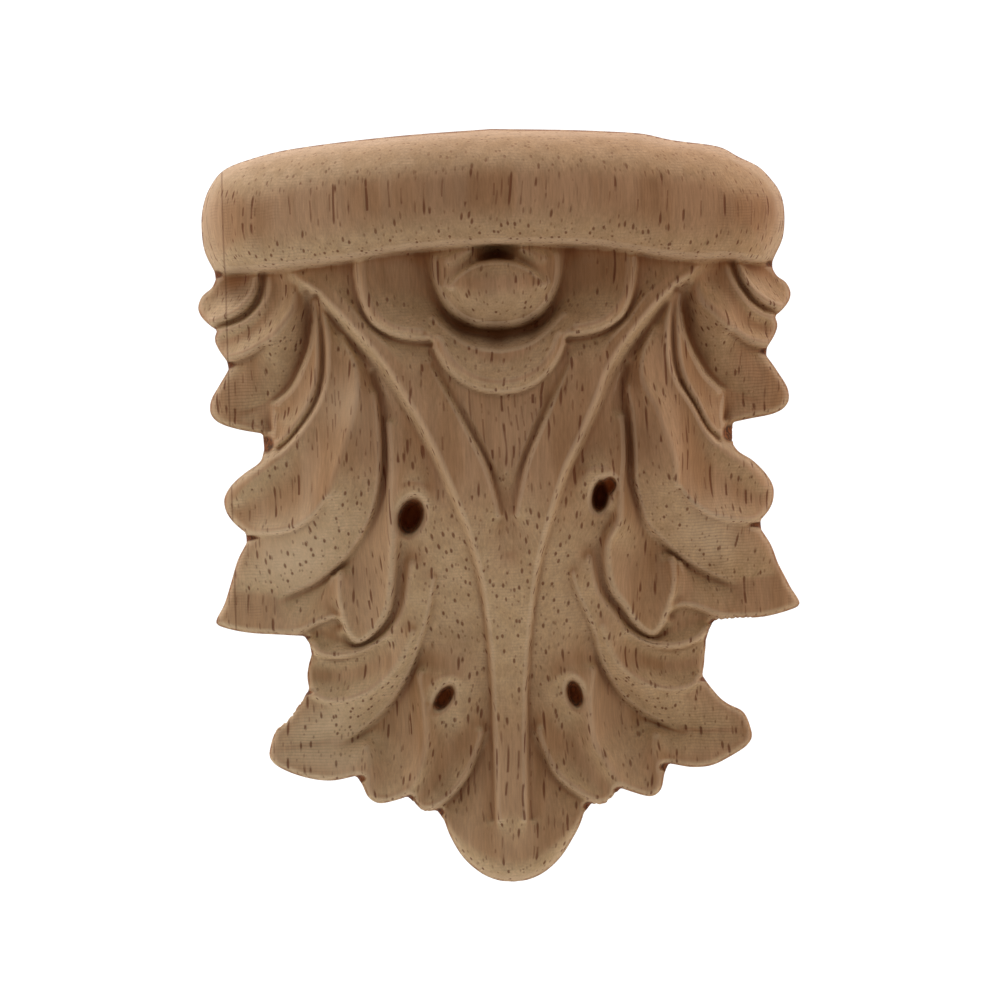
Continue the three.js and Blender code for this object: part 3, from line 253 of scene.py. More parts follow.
ROSETTE = {
    "petal rim": [(13.35, 26.2, 1.4), (13.25, 23.2, 1.4), (12.85, 21.1, 1.5), (12.0, 19.5, 1.6),
                  (10.9, 18.5, 1.6), (9.45, 17.9, 1.6), (7.8, 17.7, 1.4)],
    "petal edge": [(13.85, 26.2, 1.2), (13.75, 23.2, 1.2), (13.35, 20.8, 1.3), (12.45, 19.05, 1.3),
                   (11.15, 17.95, 1.3), (9.6, 17.35, 1.3), (8.0, 17.1, 1.2), (7.0, 17.2, 1.0)],
    "petal foot": [(14.4, 26.2, -0.6), (14.3, 23.0, -0.5), (12.95, 18.75, -0.3), (11.35, 17.45, -0.3),
                   (9.6, 16.75, -0.4), (6.8, 16.4, -0.9)],
    "lip rim": [(5.9, 16.9, 1.3), (5.3, 15.4, 1.6), (4.3, 14.1, 1.7), (3.1, 13.2, 1.7), (1.6, 12.6, 1.7),
                (0, 12.4, 1.7)],
    "lip edge": [(6.5, 16.75, 1.0), (6.05, 15.3, 1.2), (5.0, 13.7, 1.3), (3.65, 12.5, 1.3),
                 (1.9, 11.75, 1.3), (0, 11.5, 1.3)],
    "lip top": [(6.6, 18.8, -0.2), (5.2, 17.3, -0.1), (2.9, 15.8, 0.2), (0, 15.2, 0.3)],
    "lip foot": [(6.7, 15.7, -0.6), (5.8, 14.0, -0.5), (4.25, 12.4, -0.5), (2.3, 11.3, -0.5),
                 (0, 10.9, -0.5)],
    "ring": [(7.4, 26.0, -1.9), (7.05, 23.4, -2.1), (6.25, 21.0, -2.4), (4.95, 18.95, -2.7),
             (2.9, 17.65, -3.0), (0, 17.15, -3.0)],
    "bud edge": [(5.9, 24.8, 0.5), (5.8, 22.8, 0.5), (4.9, 20.7, 0.5), (3.5, 19.3, 0.4), (1.9, 18.6, 0.4),
                 (0, 18.4, 0.4)],
    "bud brow": [(4.6, 22.0, 1.9), (3.7, 22.9, 2.1), (2.6, 23.6, 2.2), (1.3, 24.1, 2.2), (0, 24.2, 2.2)],
    "bud crease": [(5.1, 22.2, 1.4), (4.2, 23.2, 1.3), (3.1, 24.1, 1.1), (2.1, 24.65, 0.6)],
    "sepal": [(4.7, 24.6, 1.5), (3.7, 25.2, 1.7), (2.7, 25.7, 1.6)],
    "gap": [(1.5, 24.8, -0.5), (0.8, 25.0, -1.8), (0, 25.2, -2.6)],
}

# Scooped and swelling faces: the middle line, half the width and the depth, which is negative on a swelling
FACES = [
    ([(28.0, 21.0), (26.0, 22.5), (25.0, 23.8)], 1.6, 1.6),
    ([(27.0, 17.4), (24.5, 18.4), (22.5, 20.5), (21.5, 23.0)], 1.2, 1.0),
    ([(26.5, 12.5), (24.0, 13.6), (21.8, 15.6), (20.6, 18.6)], 2.8, -0.8),
    ([(18.9, 15.0), (19.5, 12.4), (21.0, 10.0)], 0.9, 0.4),
    ([(16.2, 15.0), (16.3, 10.5), (18.5, 6.0), (21.5, 2.5), (24.8, 0.6)], 2.8, 1.4),
    ([(24.0, -5.5), (19.5, -4.7), (16.0, -2.4)], 2.6, -0.4),
    ([(20.0, -21.4), (16.0, -21.2), (13.0, -19.0)], 1.9, -0.3),
    ([(14.0, -3.0), (14.0, -7.0), (14.6, -10.5)], 2.2, 1.1),
    ([(18.6, -12.8), (16.2, -12.9)], 1.0, 0.4),
    ([(19.0, -16.7), (16.0, -16.8), (13.2, -15.6)], 1.8, 1.0),
    ([(22.0, -24.4), (18.0, -24.6)], 2.0, -0.5),
    ([(11.4, -21.0), (11.7, -24.0), (12.4, -27.0)], 2.3, 1.1),
    ([(6.5, -23.0), (6.8, -26.0), (8.0, -28.8)], 1.8, 1.1),
    ([(12.4, 23.0), (10.5, 20.5), (8.0, 19.5)], 2.5, 1.0),
    ([(4.2, 15.8), (2.4, 14.6), (0, 14.2)], 1.4, 0.6),
    ([(2.5, 21.8), (0, 21.5)], 3.0, -2.4),
]

# Drilled eyes: x, z, half width, half height, lean in degrees, and the depth of wood left in them
EYES = [
    (-9.2, -0.7, 1.5, 2.2, 20, UPPER_EYE_FLOOR),
    (9.8, 0.8, 1.0, 1.9, 10, UPPER_EYE_FLOOR),
    (10.6, 1.7, 0.9, 1.2, 30, UPPER_EYE_FLOOR + 2.5),
    (-6.45, -19.0, 0.95, 1.8, 36, LOWER_EYE_FLOOR),
    (6.7, -19.0, 0.95, 1.75, -14, LOWER_EYE_FLOOR),
]

# Notches between the lobes, the same on both sides: x, z, half width and half height
NOTCHES = [
    (28.0, 24.1, 0.9, 0.5), (27.3, 15.0, 1.2, 0.45), (23.4, 6.9, 0.95, 1.2), (25.6, -2.4, 1.3, 0.4),
    (20.6, -12.6, 1.3, 0.3), (19.9, -14.0, 0.7, 0.5), (20.2, -18.1, 0.8, 0.35), (15.1, -26.9, 0.75, 0.55),
    (10.2, -28.95, 0.6, 0.4), (7.2, -30.5, 0.6, 0.55),
]

# Edges that the tool left rough, on the face itself: x, z and the reach
ROUGH_EDGES = [(22.6, -12.2, 3.5), (8.6, -29.4, 3.0), (-22.4, -21.0, 2.5), (-20.2, -19.2, 1.5),
               (-9.0, -30.2, 1.6), (23.0, 6.0, 1.6)]
ROUGHNESS = 0.22

# Places where the tool's passes show most: x, z and the reach
TOOLED = [(26.5, 12.0, 4.5), (21.0, -5.0, 5.0), (20.0, -22.5, 3.0), (-25.7, 21.5, 2.5), (-26.0, 12.0, 3.0),
          (-20.5, -23.0, 3.5)]

# Paler and browner patches: the browner ones are painted shade in hollows and under the rail, the paler ones
# raised fibres with painted light and sheen. x, z, the reach and how much, which is negative where it is
# browner
LIGHT_SHADE_AND_FIBRE_PATCHES = [
    (-21.3, -4.6, 5.0, 0.9), (-18.3, -23.0, 4.5, 0.9), (-15.6, 10.6, 3.4, 0.6), (20.8, -3.0, 4.0, 0.6),
    (-25.8, 23.0, 1.9, -1.0), (-14.3, -7.0, 3.4, -0.35), (13.8, -5.3, 3.0, -0.3), (13.6, 6.0, 3.0, -0.4),
    (7.8, 6.6, 3.0, -0.4), (-4.8, -13.4, 3.0, -0.4), (-6.3, -28.3, 2.0, -0.5), (-23.2, -10.6, 3.0, -0.4),
    (23.7, -9.6, 3.0, -0.3), (-25.7, 8.8, 2.4, -0.3), (-5.2, 31.6, 6.0, -0.35), (-3.4, 18.2, 1.3, -0.8),
    (0, 17.3, 1.4, -1.0), (3.4, 18.2, 1.3, -0.8), (-1.2, 21.6, 2.5, -0.3),
]

# How far the right half strays from the left: a place on the right, and the shift there
RIGHT_STRAYS = [
    (20.4, 35.7, 0.2, -0.65), (26.5, 33.2, -0.5, -1.3), (29.1, 27.8, -0.25, -0.8), (27.5, 23.2, -0.7, -0.9),
    (19.0, 23.8, 0, -0.5), (29.4, 20.6, -0.55, -0.2), (25.4, 21.2, 1.2, 0.2), (28.0, 17.3, -0.3, -0.3),
    (29.0, 9.9, 0, -0.5), (23.3, 6.6, -0.6, -0.3), (26.9, 0.8, -0.9, -0.4), (26.0, -2.5, 0.2, -0.2),
    (29.6, -10.7, 0.5, 0.2), (20.8, -11.9, 0.7, 0.4), (19.4, -17.8, -0.5, 0.2), (24.3, -23.6, 0.25, 0.6),
    (15.6, -26.2, 0.4, 0.45), (14.3, -29.6, 1.0, -0.3), (11.0, -28.6, 0.7, 0.3), (9.2, -30.1, 0.5, 0.2),
    (9.9, 1.1, 0.4, 1.7), (12.9, 6.0, 1.1, 0), (16.0, 7.0, 1.1, 0), (17.3, -5.3, 0.3, 0.5),
    (9.4, -6.0, -1.5, 0), (14.6, -13.3, -0.4, -0.1), (9.6, -18.2, -0.5, 0), (9.1, 8.0, 0.5, 0),
]
STRAY_REACH = 2.6
STRAY_HOLD = 0.15

# The stem wanders this far to the right of the middle at its fork, and fades out above, below and beside it
FORK_DRIFT = 0.5
FORK_REACH = 17.0
DRIFT_BREADTH = 12.0


def smoothstep(low, high, value):
    t = np.clip((value - low) / (high - low), 0.0, 1.0)
    return t * t * (3.0 - 2.0 * t)


def curve_through(points, step):
    """A smooth curve through points of any number of values, as a polyline with about this step."""
    p = np.asarray(points, float)
    chords = np.hypot(*(p[1:, :2] - p[:-1, :2]).T)
    slopes = np.empty_like(p)
    slopes[1:-1] = (p[2:] - p[:-2]) / (chords[1:] + chords[:-1])[:, None]
    slopes[0] = (p[1] - p[0]) / chords[0]
    slopes[-1] = (p[-1] - p[-2]) / chords[-1]
    line = []
    for i, chord in enumerate(chords):
        steps = max(1, math.ceil(chord / step))
        for s in np.arange(steps) / steps:
            blend = s * s * (3 - 2 * s)
            leave = s * (1 - s) ** 2 * chord
            arrive = s * s * (s - 1) * chord
            line.append(p[i] + (p[i + 1] - p[i]) * blend + slopes[i] * leave + slopes[i + 1] * arrive)
    line.append(p[-1])
    return np.array(line)


def nearest_on(line, x, z):
    """Distance from each place to a polyline, and the polyline's third value at the nearest point."""
    distance = np.full(x.shape, np.inf)
    lift = np.zeros(x.shape)
    for a, b in zip(line[:-1], line[1:]):
        ex, ez = b[0] - a[0], b[1] - a[1]
        t = np.clip(((x - a[0]) * ex + (z - a[1]) * ez) / (ex * ex + ez * ez), 0, 1)
        here = np.hypot(x - a[0] - t * ex, z - a[1] - t * ez)
        nearer = here < distance
        distance = np.where(nearer, here, distance)
        if len(a) > 2:
            lift = np.where(nearer, a[2] + t * (b[2] - a[2]), lift)
    return distance, lift


def inset_from(polygon, x, z):
    """Distance from each place to a closed polygon, positive inside it."""
    nearest = np.full(x.shape, np.inf)
    inside = np.zeros(x.shape, bool)
    for a, b in zip(polygon, np.roll(polygon, -1, axis=0)):
        ex, ez = b[0] - a[0], b[1] - a[1]
        t = np.clip(((x - a[0]) * ex + (z - a[1]) * ez) / max(ex * ex + ez * ez, 1e-12), 0, 1)
        nearest = np.minimum(nearest, (x - a[0] - t * ex) ** 2 + (z - a[1] - t * ez) ** 2)
        if ez != 0:
            inside ^= ((a[1] > z) != (b[1] > z)) & (x < ex * (z - a[1]) / ez + a[0])
    return np.where(inside, 1, -1) * np.sqrt(nearest)


def mirrored(half):
    return np.concatenate([half, (half * [-1, 1])[::-1]])


class Grid:
    """Values over the left half of the drawing, from the middle outwards and from the foot up."""

    def __init__(self, pitch):
        self.pitch = pitch
        xs = np.arange(0, HALF_SPAN + pitch, pitch)
        zs = np.arange(DRAWN_FOOT, DRAWN_TOP + pitch, pitch)
        self.x, self.z = np.meshgrid(xs, zs)
        self.values = np.zeros(self.x.shape)

    def read(self, x, z):
        rows, columns = self.values.shape
        u = np.clip(x / self.pitch, 0, columns - 1.001)
        v = np.clip((z - DRAWN_FOOT) / self.pitch, 0, rows - 1.001)
        i, j = u.astype(int), v.astype(int)
        s, t = u - i, v - j
        low = self.values[j, i] * (1 - s) + self.values[j, i + 1] * s
        high = self.values[j + 1, i] * (1 - s) + self.values[j + 1, i + 1] * s
        return low * (1 - t) + high * t

    def near(self, line, reach):
        """The rows and columns within reach of a polyline."""
        low = (line[:, :2].min(0) - reach - [0, DRAWN_FOOT]) / self.pitch
        high = (line[:, :2].max(0) + reach - [0, DRAWN_FOOT]) / self.pitch
        low = np.maximum(low, 0).astype(int)
        high = np.maximum(high, 0).astype(int) + 2
        return slice(low[1], high[1]), slice(low[0], high[0])


def settle(values, pull, goal, curving, rounds):
    """Each place takes the mean of its neighbours, the pull of the lines near it and the face's curving."""
    checks = np.indices(values.shape).sum(0) % 2
    for count in range(2 * rounds):
        around = np.pad(values, 1, mode="edge")
        around[:, 0] = around[:, 2]
        total = around[:-2, 1:-1] + around[2:, 1:-1] + around[1:-1, :-2] + around[1:-1, 2:]
        mean = (total - curving + goal) / (4 + pull)
        values = np.where(checks == count % 2, values + OVERSHOOT * (mean - values), values)
    return values


def stretch_skin(lines):
    """The skin over the crests and cuts. A coarse grid settles first and starts the next finer one."""
    skin = None
    for factor in SKIN_FACTORS:
        grid = Grid(PITCH * factor)
        spread = max(PULL_WIDTH, PULL_CELLS * grid.pitch)
        pull = np.zeros(grid.x.shape)
        goal = np.zeros(grid.x.shape)
        curving = np.zeros(grid.x.shape)
        for line in lines:
            box = grid.near(line, 3 * spread)
            distance, lift = nearest_on(line, grid.x[box], grid.z[box])
            strength = PULL * np.exp(-(distance / spread) ** 2)
            pull[box] += strength
            goal[box] += strength * lift
        for along, half, depth in FACES:
            line = curve_through(along, EDGE_STEP)
            box = grid.near(line, FACE_END * half)
            distance, _ = nearest_on(line, grid.x[box], grid.z[box])
            share = 1 - smoothstep(FACE_CORE * half, FACE_END * half, distance)
            curving[box] += 2 * depth / half ** 2 * share * grid.pitch ** 2
        if skin is not None:
            grid.values = skin.read(grid.x, grid.z)
        rounds = COARSE_ROUNDS if factor > 1 else FINE_ROUNDS
        grid.values = settle(grid.values, pull, goal, curving, rounds)
        skin = grid
    return skin


def filled(pitch, polygon):
    grid = Grid(pitch)
    grid.values = inset_from(polygon, grid.x, grid.z)
    return grid


carving = [curve_through(points, LINE_STEP) for part in (UPPER_LEAF, LOWER_LEAF, STEMS, ROSETTE)
           for points in part.values()]
margin_half = np.concatenate([curve_through(points, LINE_STEP) for points in MARGIN.values()])
underside = curve_through(RAIL_UNDERSIDE, EDGE_STEP)
rail_half = np.concatenate([curve_through(MARGIN["rail"], EDGE_STEP), underside])
skin_grid = stretch_skin(carving)
margin_grid = filled(PITCH, mirrored(margin_half))
rail_grid = filled(2 * PITCH, mirrored(rail_half))
underside_grid = Grid(2 * PITCH)
underside_grid.values = nearest_on(underside, underside_grid.x, underside_grid.z)[0]


def drawing_place(x, z):
    """The place in the drawing of the left half that a place on the face repeats."""
    drift = FORK_DRIFT * np.exp(-(z / FORK_REACH) ** 2 - (x / DRIFT_BREADTH) ** 2)
    out = x - drift
    weights = np.full(x.shape, STRAY_HOLD)
    dx = np.zeros(x.shape)
    dz = np.zeros(x.shape)
    for stray_x, stray_z, shift_x, shift_z in RIGHT_STRAYS:
        weight = np.exp(-((out - stray_x) ** 2 + (z - stray_z) ** 2) / STRAY_REACH ** 2)
        weights += weight
        dx += weight * shift_x
        dz += weight * shift_z
    fade_in = smoothstep(0, 5, out)
    right_x = out - fade_in * dx / weights
    right_z = z - fade_in * dz / weights
    return np.where(out < 0, -out, right_x), np.where(out < 0, z, right_z)


def body_depth(x, z):
    middle = FOOT_DEPTH + (LEAF_DEPTH - FOOT_DEPTH) * smoothstep(FALL_FOOT, FALL_TOP, z)
    return MARGIN_DEPTH + (middle - MARGIN_DEPTH) * (1 - (x / HALF_SPAN) ** 2)


def fall(inset, rounding, depth):
    """How far a rounded edge has fallen, this far in from it."""
    turn = 1 - np.clip(inset / rounding, 0, 1)
    return depth * (1 - np.sqrt(1 - turn ** RAIL_FULLNESS))


def rail_depth(x, inset, rise):
    crown = RAIL_DEPTH - (RAIL_DEPTH - RAIL_END_DEPTH) * (x / (DRAWN_WIDTH / 2)) ** 2
    top = fall(inset, RAIL_TOP_ROUNDING, RAIL_TOP_FALL)
    return crown - top - fall(rise, RAIL_LOW_ROUNDING, RAIL_LOW_FALL)


def pit_share(x, z, wide, high, lean):
    """1 in a pit and 0 outside it, for places from its middle."""
    c, s = math.cos(math.radians(lean)), math.sin(math.radians(lean))
    u = (x * c - z * s) / wide
    v = (z * c + x * s) / high
    return 1 - smoothstep(PIT_CORE, PIT_END, np.hypot(u, v))


def notch_share(x, z):
    """1 in a notch between two lobes and 0 outside all of them."""
    share = np.zeros(x.shape)
    for notch_x, notch_z, wide, high in NOTCHES:
        share = np.maximum(share, pit_share(x - notch_x, z - notch_z, wide, high, 0))
    return share


def depth_at(face_x, face_z):
    """Depth of wood at each place of the face."""
    x, z = drawing_place(face_x, face_z)
    depth = body_depth(x, z) + skin_grid.read(x, z)
    for eye_x, eye_z, wide, high, lean, floor in EYES:
        share = pit_share(face_x - eye_x, face_z - eye_z, wide, high, lean)
        depth -= np.maximum(depth - floor, 0) * share
    depth -= np.clip(depth - NOTCH_FLOOR, 0, NOTCH_DROP) * notch_share(x, z)
    tip_share = 1 - smoothstep(TIP_ROUNDING_FOOT, TIP_ROUNDING_TOP, z)
    rounding = MARGIN_ROUNDING + (TIP_ROUNDING - MARGIN_ROUNDING) * tip_share
    turn = 1 - np.clip(margin_grid.read(x, z) / rounding, 0, 1)
    depth -= rounding * (1 - np.sqrt(1 - turn * turn))
    rail_inset = rail_grid.read(x, z)
    rail = rail_depth(x, margin_grid.read(x, z), underside_grid.read(x, z))
    depth += np.maximum(rail - depth, 0) * smoothstep(-RAIL_EDGE, RAIL_EDGE, rail_inset)
    return np.maximum(depth, LEAST_DEPTH)


def inset_at(face_x, face_z):
    inset = margin_grid.read(*drawing_place(face_x, face_z))
    jag = np.sin(9.1 * face_x + 4.3 * face_z) * np.sin(7.7 * face_z - 3.1 * face_x)
    for rough_x, rough_z, reach in ROUGH_EDGES:
        share = 1 - smoothstep(0.4 * reach, reach, np.hypot(face_x - rough_x, face_z - rough_z))
        inset = inset - ROUGHNESS * share * np.maximum(jag, 0)
    return inset


# Width of the darker band along the margin
MARGIN_BAND = 0.35

# The most painted shade that the wood gets right under the rail, and how far that reaches down
RAIL_SHADE = 1.4
RAIL_SHADE_REACH = 1.1

# How much painted shade the shallow lower eyes get, against the upper ones
LOWER_EYE_SHADE = 0.78

# How many cells away the crests, the cuts and the broad hollows are told from what is around them
CREST_REACH = 1
CUT_REACH = 2
RECESS_REACH = 7

# A corner this near to the margin, in cells, is moved onto it
CORNER_HOLD = 0.35
LEAST_STEEP = 0.2


def blurred(values, reach):
    """Values averaged twice over a square of this many places each way."""
    for _ in range(2):
        for axis in (0, 1):
            pad = [(0, 0), (0, 0)]
            pad[axis] = (reach + 1, reach)
            total = np.cumsum(np.pad(values, pad, mode="edge"), axis=axis)
            ahead = np.take(total, range(2 * reach + 1, total.shape[axis]), axis=axis)
            behind = np.take(total, range(0, total.shape[axis] - 2 * reach - 1), axis=axis)
            values = (ahead - behind) / (2 * reach + 1)
    return values


def eye_share(face_x, face_z):
    """1 in the middle of a drilled eye, less in one of the shallow lower ones, and 0 outside them."""
    share = np.zeros(face_x.shape)
    for eye_x, eye_z, wide, high, lean, floor in EYES:
        own = pit_share(face_x - eye_x, face_z - eye_z, wide, high, lean)
        share = np.maximum(share, own * (LOWER_EYE_SHADE if floor == LOWER_EYE_FLOOR else 1.0))
    return share


def tooled_share(face_x, face_z):
    """1 where the tool's passes show most, and less away from there."""
    share = np.zeros(face_x.shape)
    for tooled_x, tooled_z, reach in TOOLED:
        apart = (face_x - tooled_x) ** 2 + (face_z - tooled_z) ** 2
        share = np.maximum(share, np.exp(-apart / reach ** 2))
    return share


def patch_shade(face_x, face_z):
    """How much paler the wood is at each place, from raised fibres and painted light, negative where painted
    shade makes it browner.
    """
    shade = np.zeros(face_x.shape)
    for patch_x, patch_z, reach, much in LIGHT_SHADE_AND_FIBRE_PATCHES:
        apart = (face_x - patch_x) ** 2 + (face_z - patch_z) ** 2
        shade += much * np.exp(-apart / reach ** 2)
    return np.clip(shade, -1, 1)


def carved_face():
    """The corners of the carved face, and their values for marks and painted light: how much each one stands
    out, lies deep, is in a narrow cut, in a pit or at the margin, shows the tool's passes, and is paler or
    browner than the rest."""
    xs = np.arange(-HALF_SPAN, HALF_SPAN + PITCH, PITCH)
    zs = np.arange(DRAWN_FOOT, DRAWN_TOP + PITCH, PITCH)
    x, z = np.meshgrid(xs, zs)
    inset = inset_at(x, z)
    slope_z, slope_x = np.gradient(inset, PITCH)
    steep = np.maximum(slope_x ** 2 + slope_z ** 2, LEAST_STEEP)
    close = np.abs(inset) < CORNER_HOLD * PITCH
    x = np.where(close, x - inset * slope_x / steep, x)
    z = np.where(close, z - inset * slope_z / steep, z)
    inset = np.where(close, 0.0, inset)
    depth = depth_at(x, z)
    # The crest value gives what stands out a painted highlight, with the paleness of its sanded edge
    crest = depth - blurred(depth, CREST_REACH)
    below_rail = smoothstep(0.0, RAIL_SHADE_REACH, underside_grid.read(*drawing_place(x, z)))
    # The recess value lays painted shade into broad hollows, held back right under the rail
    recess = blurred(depth, RECESS_REACH) - depth
    mild = np.minimum(recess, RAIL_SHADE)
    recess = mild + (recess - mild) * below_rail
    # The cut value lays painted shade into narrow cuts, but not right under the rail
    cut = (blurred(depth, CUT_REACH) - depth) * below_rail
    # The pit value brings painted shade into the drilled eyes and the notches, and the torn wood's own brown
    # into the notches
    pit = np.maximum(notch_share(*drawing_place(x, z)), 2 * eye_share(x, z))
    off_rail = 1 - smoothstep(-RAIL_EDGE, RAIL_EDGE, rail_grid.read(*drawing_place(x, z)))
    margin = (1 - np.clip(inset / MARGIN_BAND, 0, 1)) * off_rail
    marks_and_painted_light = [crest, recess, cut, pit, margin, tooled_share(x, z), patch_shade(x, z)]
    return x, z, inset, depth, np.stack(marks_and_painted_light, axis=-1)


def face_mesh():
    """Vertices, faces and mark and painted-light values of the carved face alone, up to the margin."""
    x, z, inset, depth, marks_and_light_values = carved_face()
    inside = inset >= 0
    index = np.full(x.shape, -1)
    index[inside] = np.arange(inside.sum())
    vertices = [np.stack([x[inside], -depth[inside], z[inside]], axis=1)]
    marks_and_painted_light = [marks_and_light_values[inside]]
    full = inside[:-1, :-1] & inside[1:, :-1] & inside[:-1, 1:] & inside[1:, 1:]
    j, i = np.nonzero(full)
    faces = np.stack([index[j, i], index[j, i + 1], index[j + 1, i + 1], index[j + 1, i]], axis=1).tolist()

    count = int(inside.sum())
    crossings = {}
    extra = []

    def crossing(inner, outer):
        nonlocal count
        if (inner, outer) not in crossings:
            share = inset[inner] / (inset[inner] - inset[outer])
            place = x[inner] + (x[outer] - x[inner]) * share, z[inner] + (z[outer] - z[inner]) * share
            extra.append((*place, *marks_and_light_values[inner]))
            crossings[inner, outer] = count
            count += 1
        return crossings[inner, outer]

    some = inside[:-1, :-1] | inside[1:, :-1] | inside[:-1, 1:] | inside[1:, 1:]
    for j, i in zip(*np.nonzero(some & ~full)):
        ring = [(j, i), (j, i + 1), (j + 1, i + 1), (j + 1, i)]
        loop = []
        for here, there in zip(ring, ring[1:] + ring[:1]):
            if inside[here]:
                loop.append(int(index[here]))
            if inset[here] > 0 > inset[there]:
                loop.append(crossing(here, there))
            if inset[here] < 0 < inset[there]:
                loop.append(crossing(there, here))
        if len(loop) > 2:
            faces.append(loop)
    extra = np.array(extra)
    vertices.append(np.stack([extra[:, 0], -depth_at(extra[:, 0], extra[:, 1]), extra[:, 1]], axis=1))
    marks_and_painted_light.append(extra[:, 2:])
    return np.concatenate(vertices), faces, np.concatenate(marks_and_painted_light)


def open_loops(faces):
    """The loops of face sides that have no face on the other side."""
    sides = set()
    for face in faces:
        sides.update(zip(face, face[1:] + face[:1]))
    following = {a: b for a, b in sides if (b, a) not in sides}
    loops = []
    while following:
        start = next(iter(following))
        loop = []
        at = start
        while at in following:
            loop.append(at)
            at = following.pop(at)
        loops.append(loop)
    return loops


# Rows of faces down the cut sides
WALL_ROWS = 7


def whole_piece():
    """The carved face with the cut sides and the flat back. All the mark and painted-light values are 0 on
    these.
    """
    vertices, faces, marks_and_painted_light = face_mesh()
    used = np.zeros(len(vertices), bool)
    for face in faces:
        used[face] = True
    renumber = np.cumsum(used) - 1
    vertices = vertices[used]
    marks_and_painted_light = marks_and_painted_light[used]
    faces = [[int(renumber[k]) for k in face] for face in faces]
    smooth = len(faces)
    sharp = []
    for loop in open_loops(faces):
        rim = vertices[loop]
        above = loop
        for row in range(1, WALL_ROWS + 1):
            share = row / WALL_ROWS
            start = len(vertices)
            wall = rim * [1, 1 - share, 1]
            vertices = np.concatenate([vertices, wall])
            marks_and_painted_light = np.concatenate([marks_and_painted_light, np.zeros((len(loop), marks_and_painted_light.shape[1]))])
            below = list(range(start, start + len(loop)))
            for k in range(len(loop)):
                n = (k + 1) % len(loop)
                faces.append([above[n], above[k], below[k], below[n]])
            above = below
        smooth = len(faces)
        faces.append(above)
        sharp.extend(zip(above, above[1:] + above[:1]))
    return vertices, faces, marks_and_painted_light, smooth, sharp


def fitted(vertices):
    """The piece in metres, fitted to the plain solid's box."""
    low = np.array(cad_box[0])
    high = np.array(cad_box[1])
    least = vertices.min(0)
    most = vertices.max(0)
    return low + (vertices - least) * (high - low) / (most - least)


vertices, faces, marks_and_painted_light, smooth, sharp = whole_piece()
mesh = bpy.data.meshes.new("carved_wood")
mesh.from_pydata(fitted(vertices).tolist(), [], faces)
mesh.update()
flags = np.zeros(len(faces), bool)
flags[:smooth] = True
mesh.polygons.foreach_set("use_smooth", flags)
edge_of = {tuple(sorted(edge.vertices)): edge.index for edge in mesh.edges}
sharp_edges = mesh.attributes.new("sharp_edge", "BOOLEAN", "EDGE")
for a, b in sharp:
    sharp_edges.data[edge_of[min(a, b), max(a, b)]].value = True
MARK_AND_LIGHT_NAMES = ("crest", "recess", "cut", "pit", "margin", "tooled", "patch")
for column, name in enumerate(MARK_AND_LIGHT_NAMES):
    layer = mesh.attributes.new(name, "FLOAT", "POINT")
    layer.data.foreach_set("value", marks_and_painted_light[:, column].astype(np.float32))
applique = bpy.data.objects.new("carved_wood", mesh)
bpy.context.collection.objects.link(applique)
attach(applique, "root")
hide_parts("carved_applique")


def linear(red, green, blue):
    """A colour seen on screen, as the light values that the shader takes."""
    values = [c / 255 for c in (red, green, blue)]
    return tuple(((v + 0.055) / 1.055) ** 2.4 if v > 0.04045 else v / 12.92 for v in values) + (1.0,)


class Nodes:
    """Short ways to add and join shader nodes."""

    def __init__(self, tree):
        self.tree = tree
        tree.nodes.clear()

    def add(self, kind, inputs=(), **settings):
        node = self.tree.nodes.new(kind)
        for key, value in settings.items():
            setattr(node, key, value)
        for key, value in dict(inputs).items():
            if hasattr(value, "is_output"):
                self.tree.links.new(value, node.inputs[key])
            else:
                node.inputs[key].default_value = value
        return node

    def math(self, operation, *values, clamp=False):
        return self.add("ShaderNodeMath", enumerate(values), operation=operation, use_clamp=clamp).outputs[0]

    def vector(self, operation, *values):
        return self.add("ShaderNodeVectorMath", enumerate(values), operation=operation).outputs[0]

    def ramp(self, value, low, high, to_low=0.0, to_high=1.0):
        inputs = {"Value": value, "From Min": low, "From Max": high, "To Min": to_low, "To Max": to_high}
        return self.add("ShaderNodeMapRange", inputs, interpolation_type="SMOOTHSTEP").outputs[0]

    def blend(self, share, first, second, mode="MIX"):
        node = self.add("ShaderNodeMix", data_type="RGBA", blend_type=mode)
        for key, value in ((0, share), (6, first), (7, second)):
            if hasattr(value, "is_output"):
                self.tree.links.new(value, node.inputs[key])
            else:
                node.inputs[key].default_value = value
        return node.outputs[2]

    def noise(self, place, scale, detail=2.0, rough=0.5):
        inputs = {"Vector": place, "Scale": scale, "Detail": detail, "Roughness": rough}
        return self.add("ShaderNodeTexNoise", inputs).outputs[0]


LONG_GRAIN = linear(194, 152, 115)
LONG_GRAIN_DARK = linear(176, 132, 94)
END_GRAIN = linear(206, 171, 131)
END_GRAIN_DARK = linear(194, 159, 119)
# Painted shade in broad hollows
RECESS_PAINTED_SHADE = linear(150, 88, 40)
# Painted shade in narrow cuts and in the deepest hollows
CUT_PAINTED_SHADE = linear(104, 50, 16)
NOTCH_BROWN = linear(138, 72, 30)
# Painted shade deep in the notches, speckled with the torn wood's own brown
NOTCH_PAINTED_SHADE = linear(62, 28, 10)
# Painted shade inside the drilled eyes
EYE_PAINTED_SHADE = linear(130, 60, 20)
# Raised fibres with painted light and sheen, and painted shade, for the patches
PATCH_FIBRE_AND_LIGHT = linear(232, 204, 164)
PATCH_PAINTED_SHADE = linear(110, 72, 38)
MARGIN_BROWN = linear(136, 78, 38)
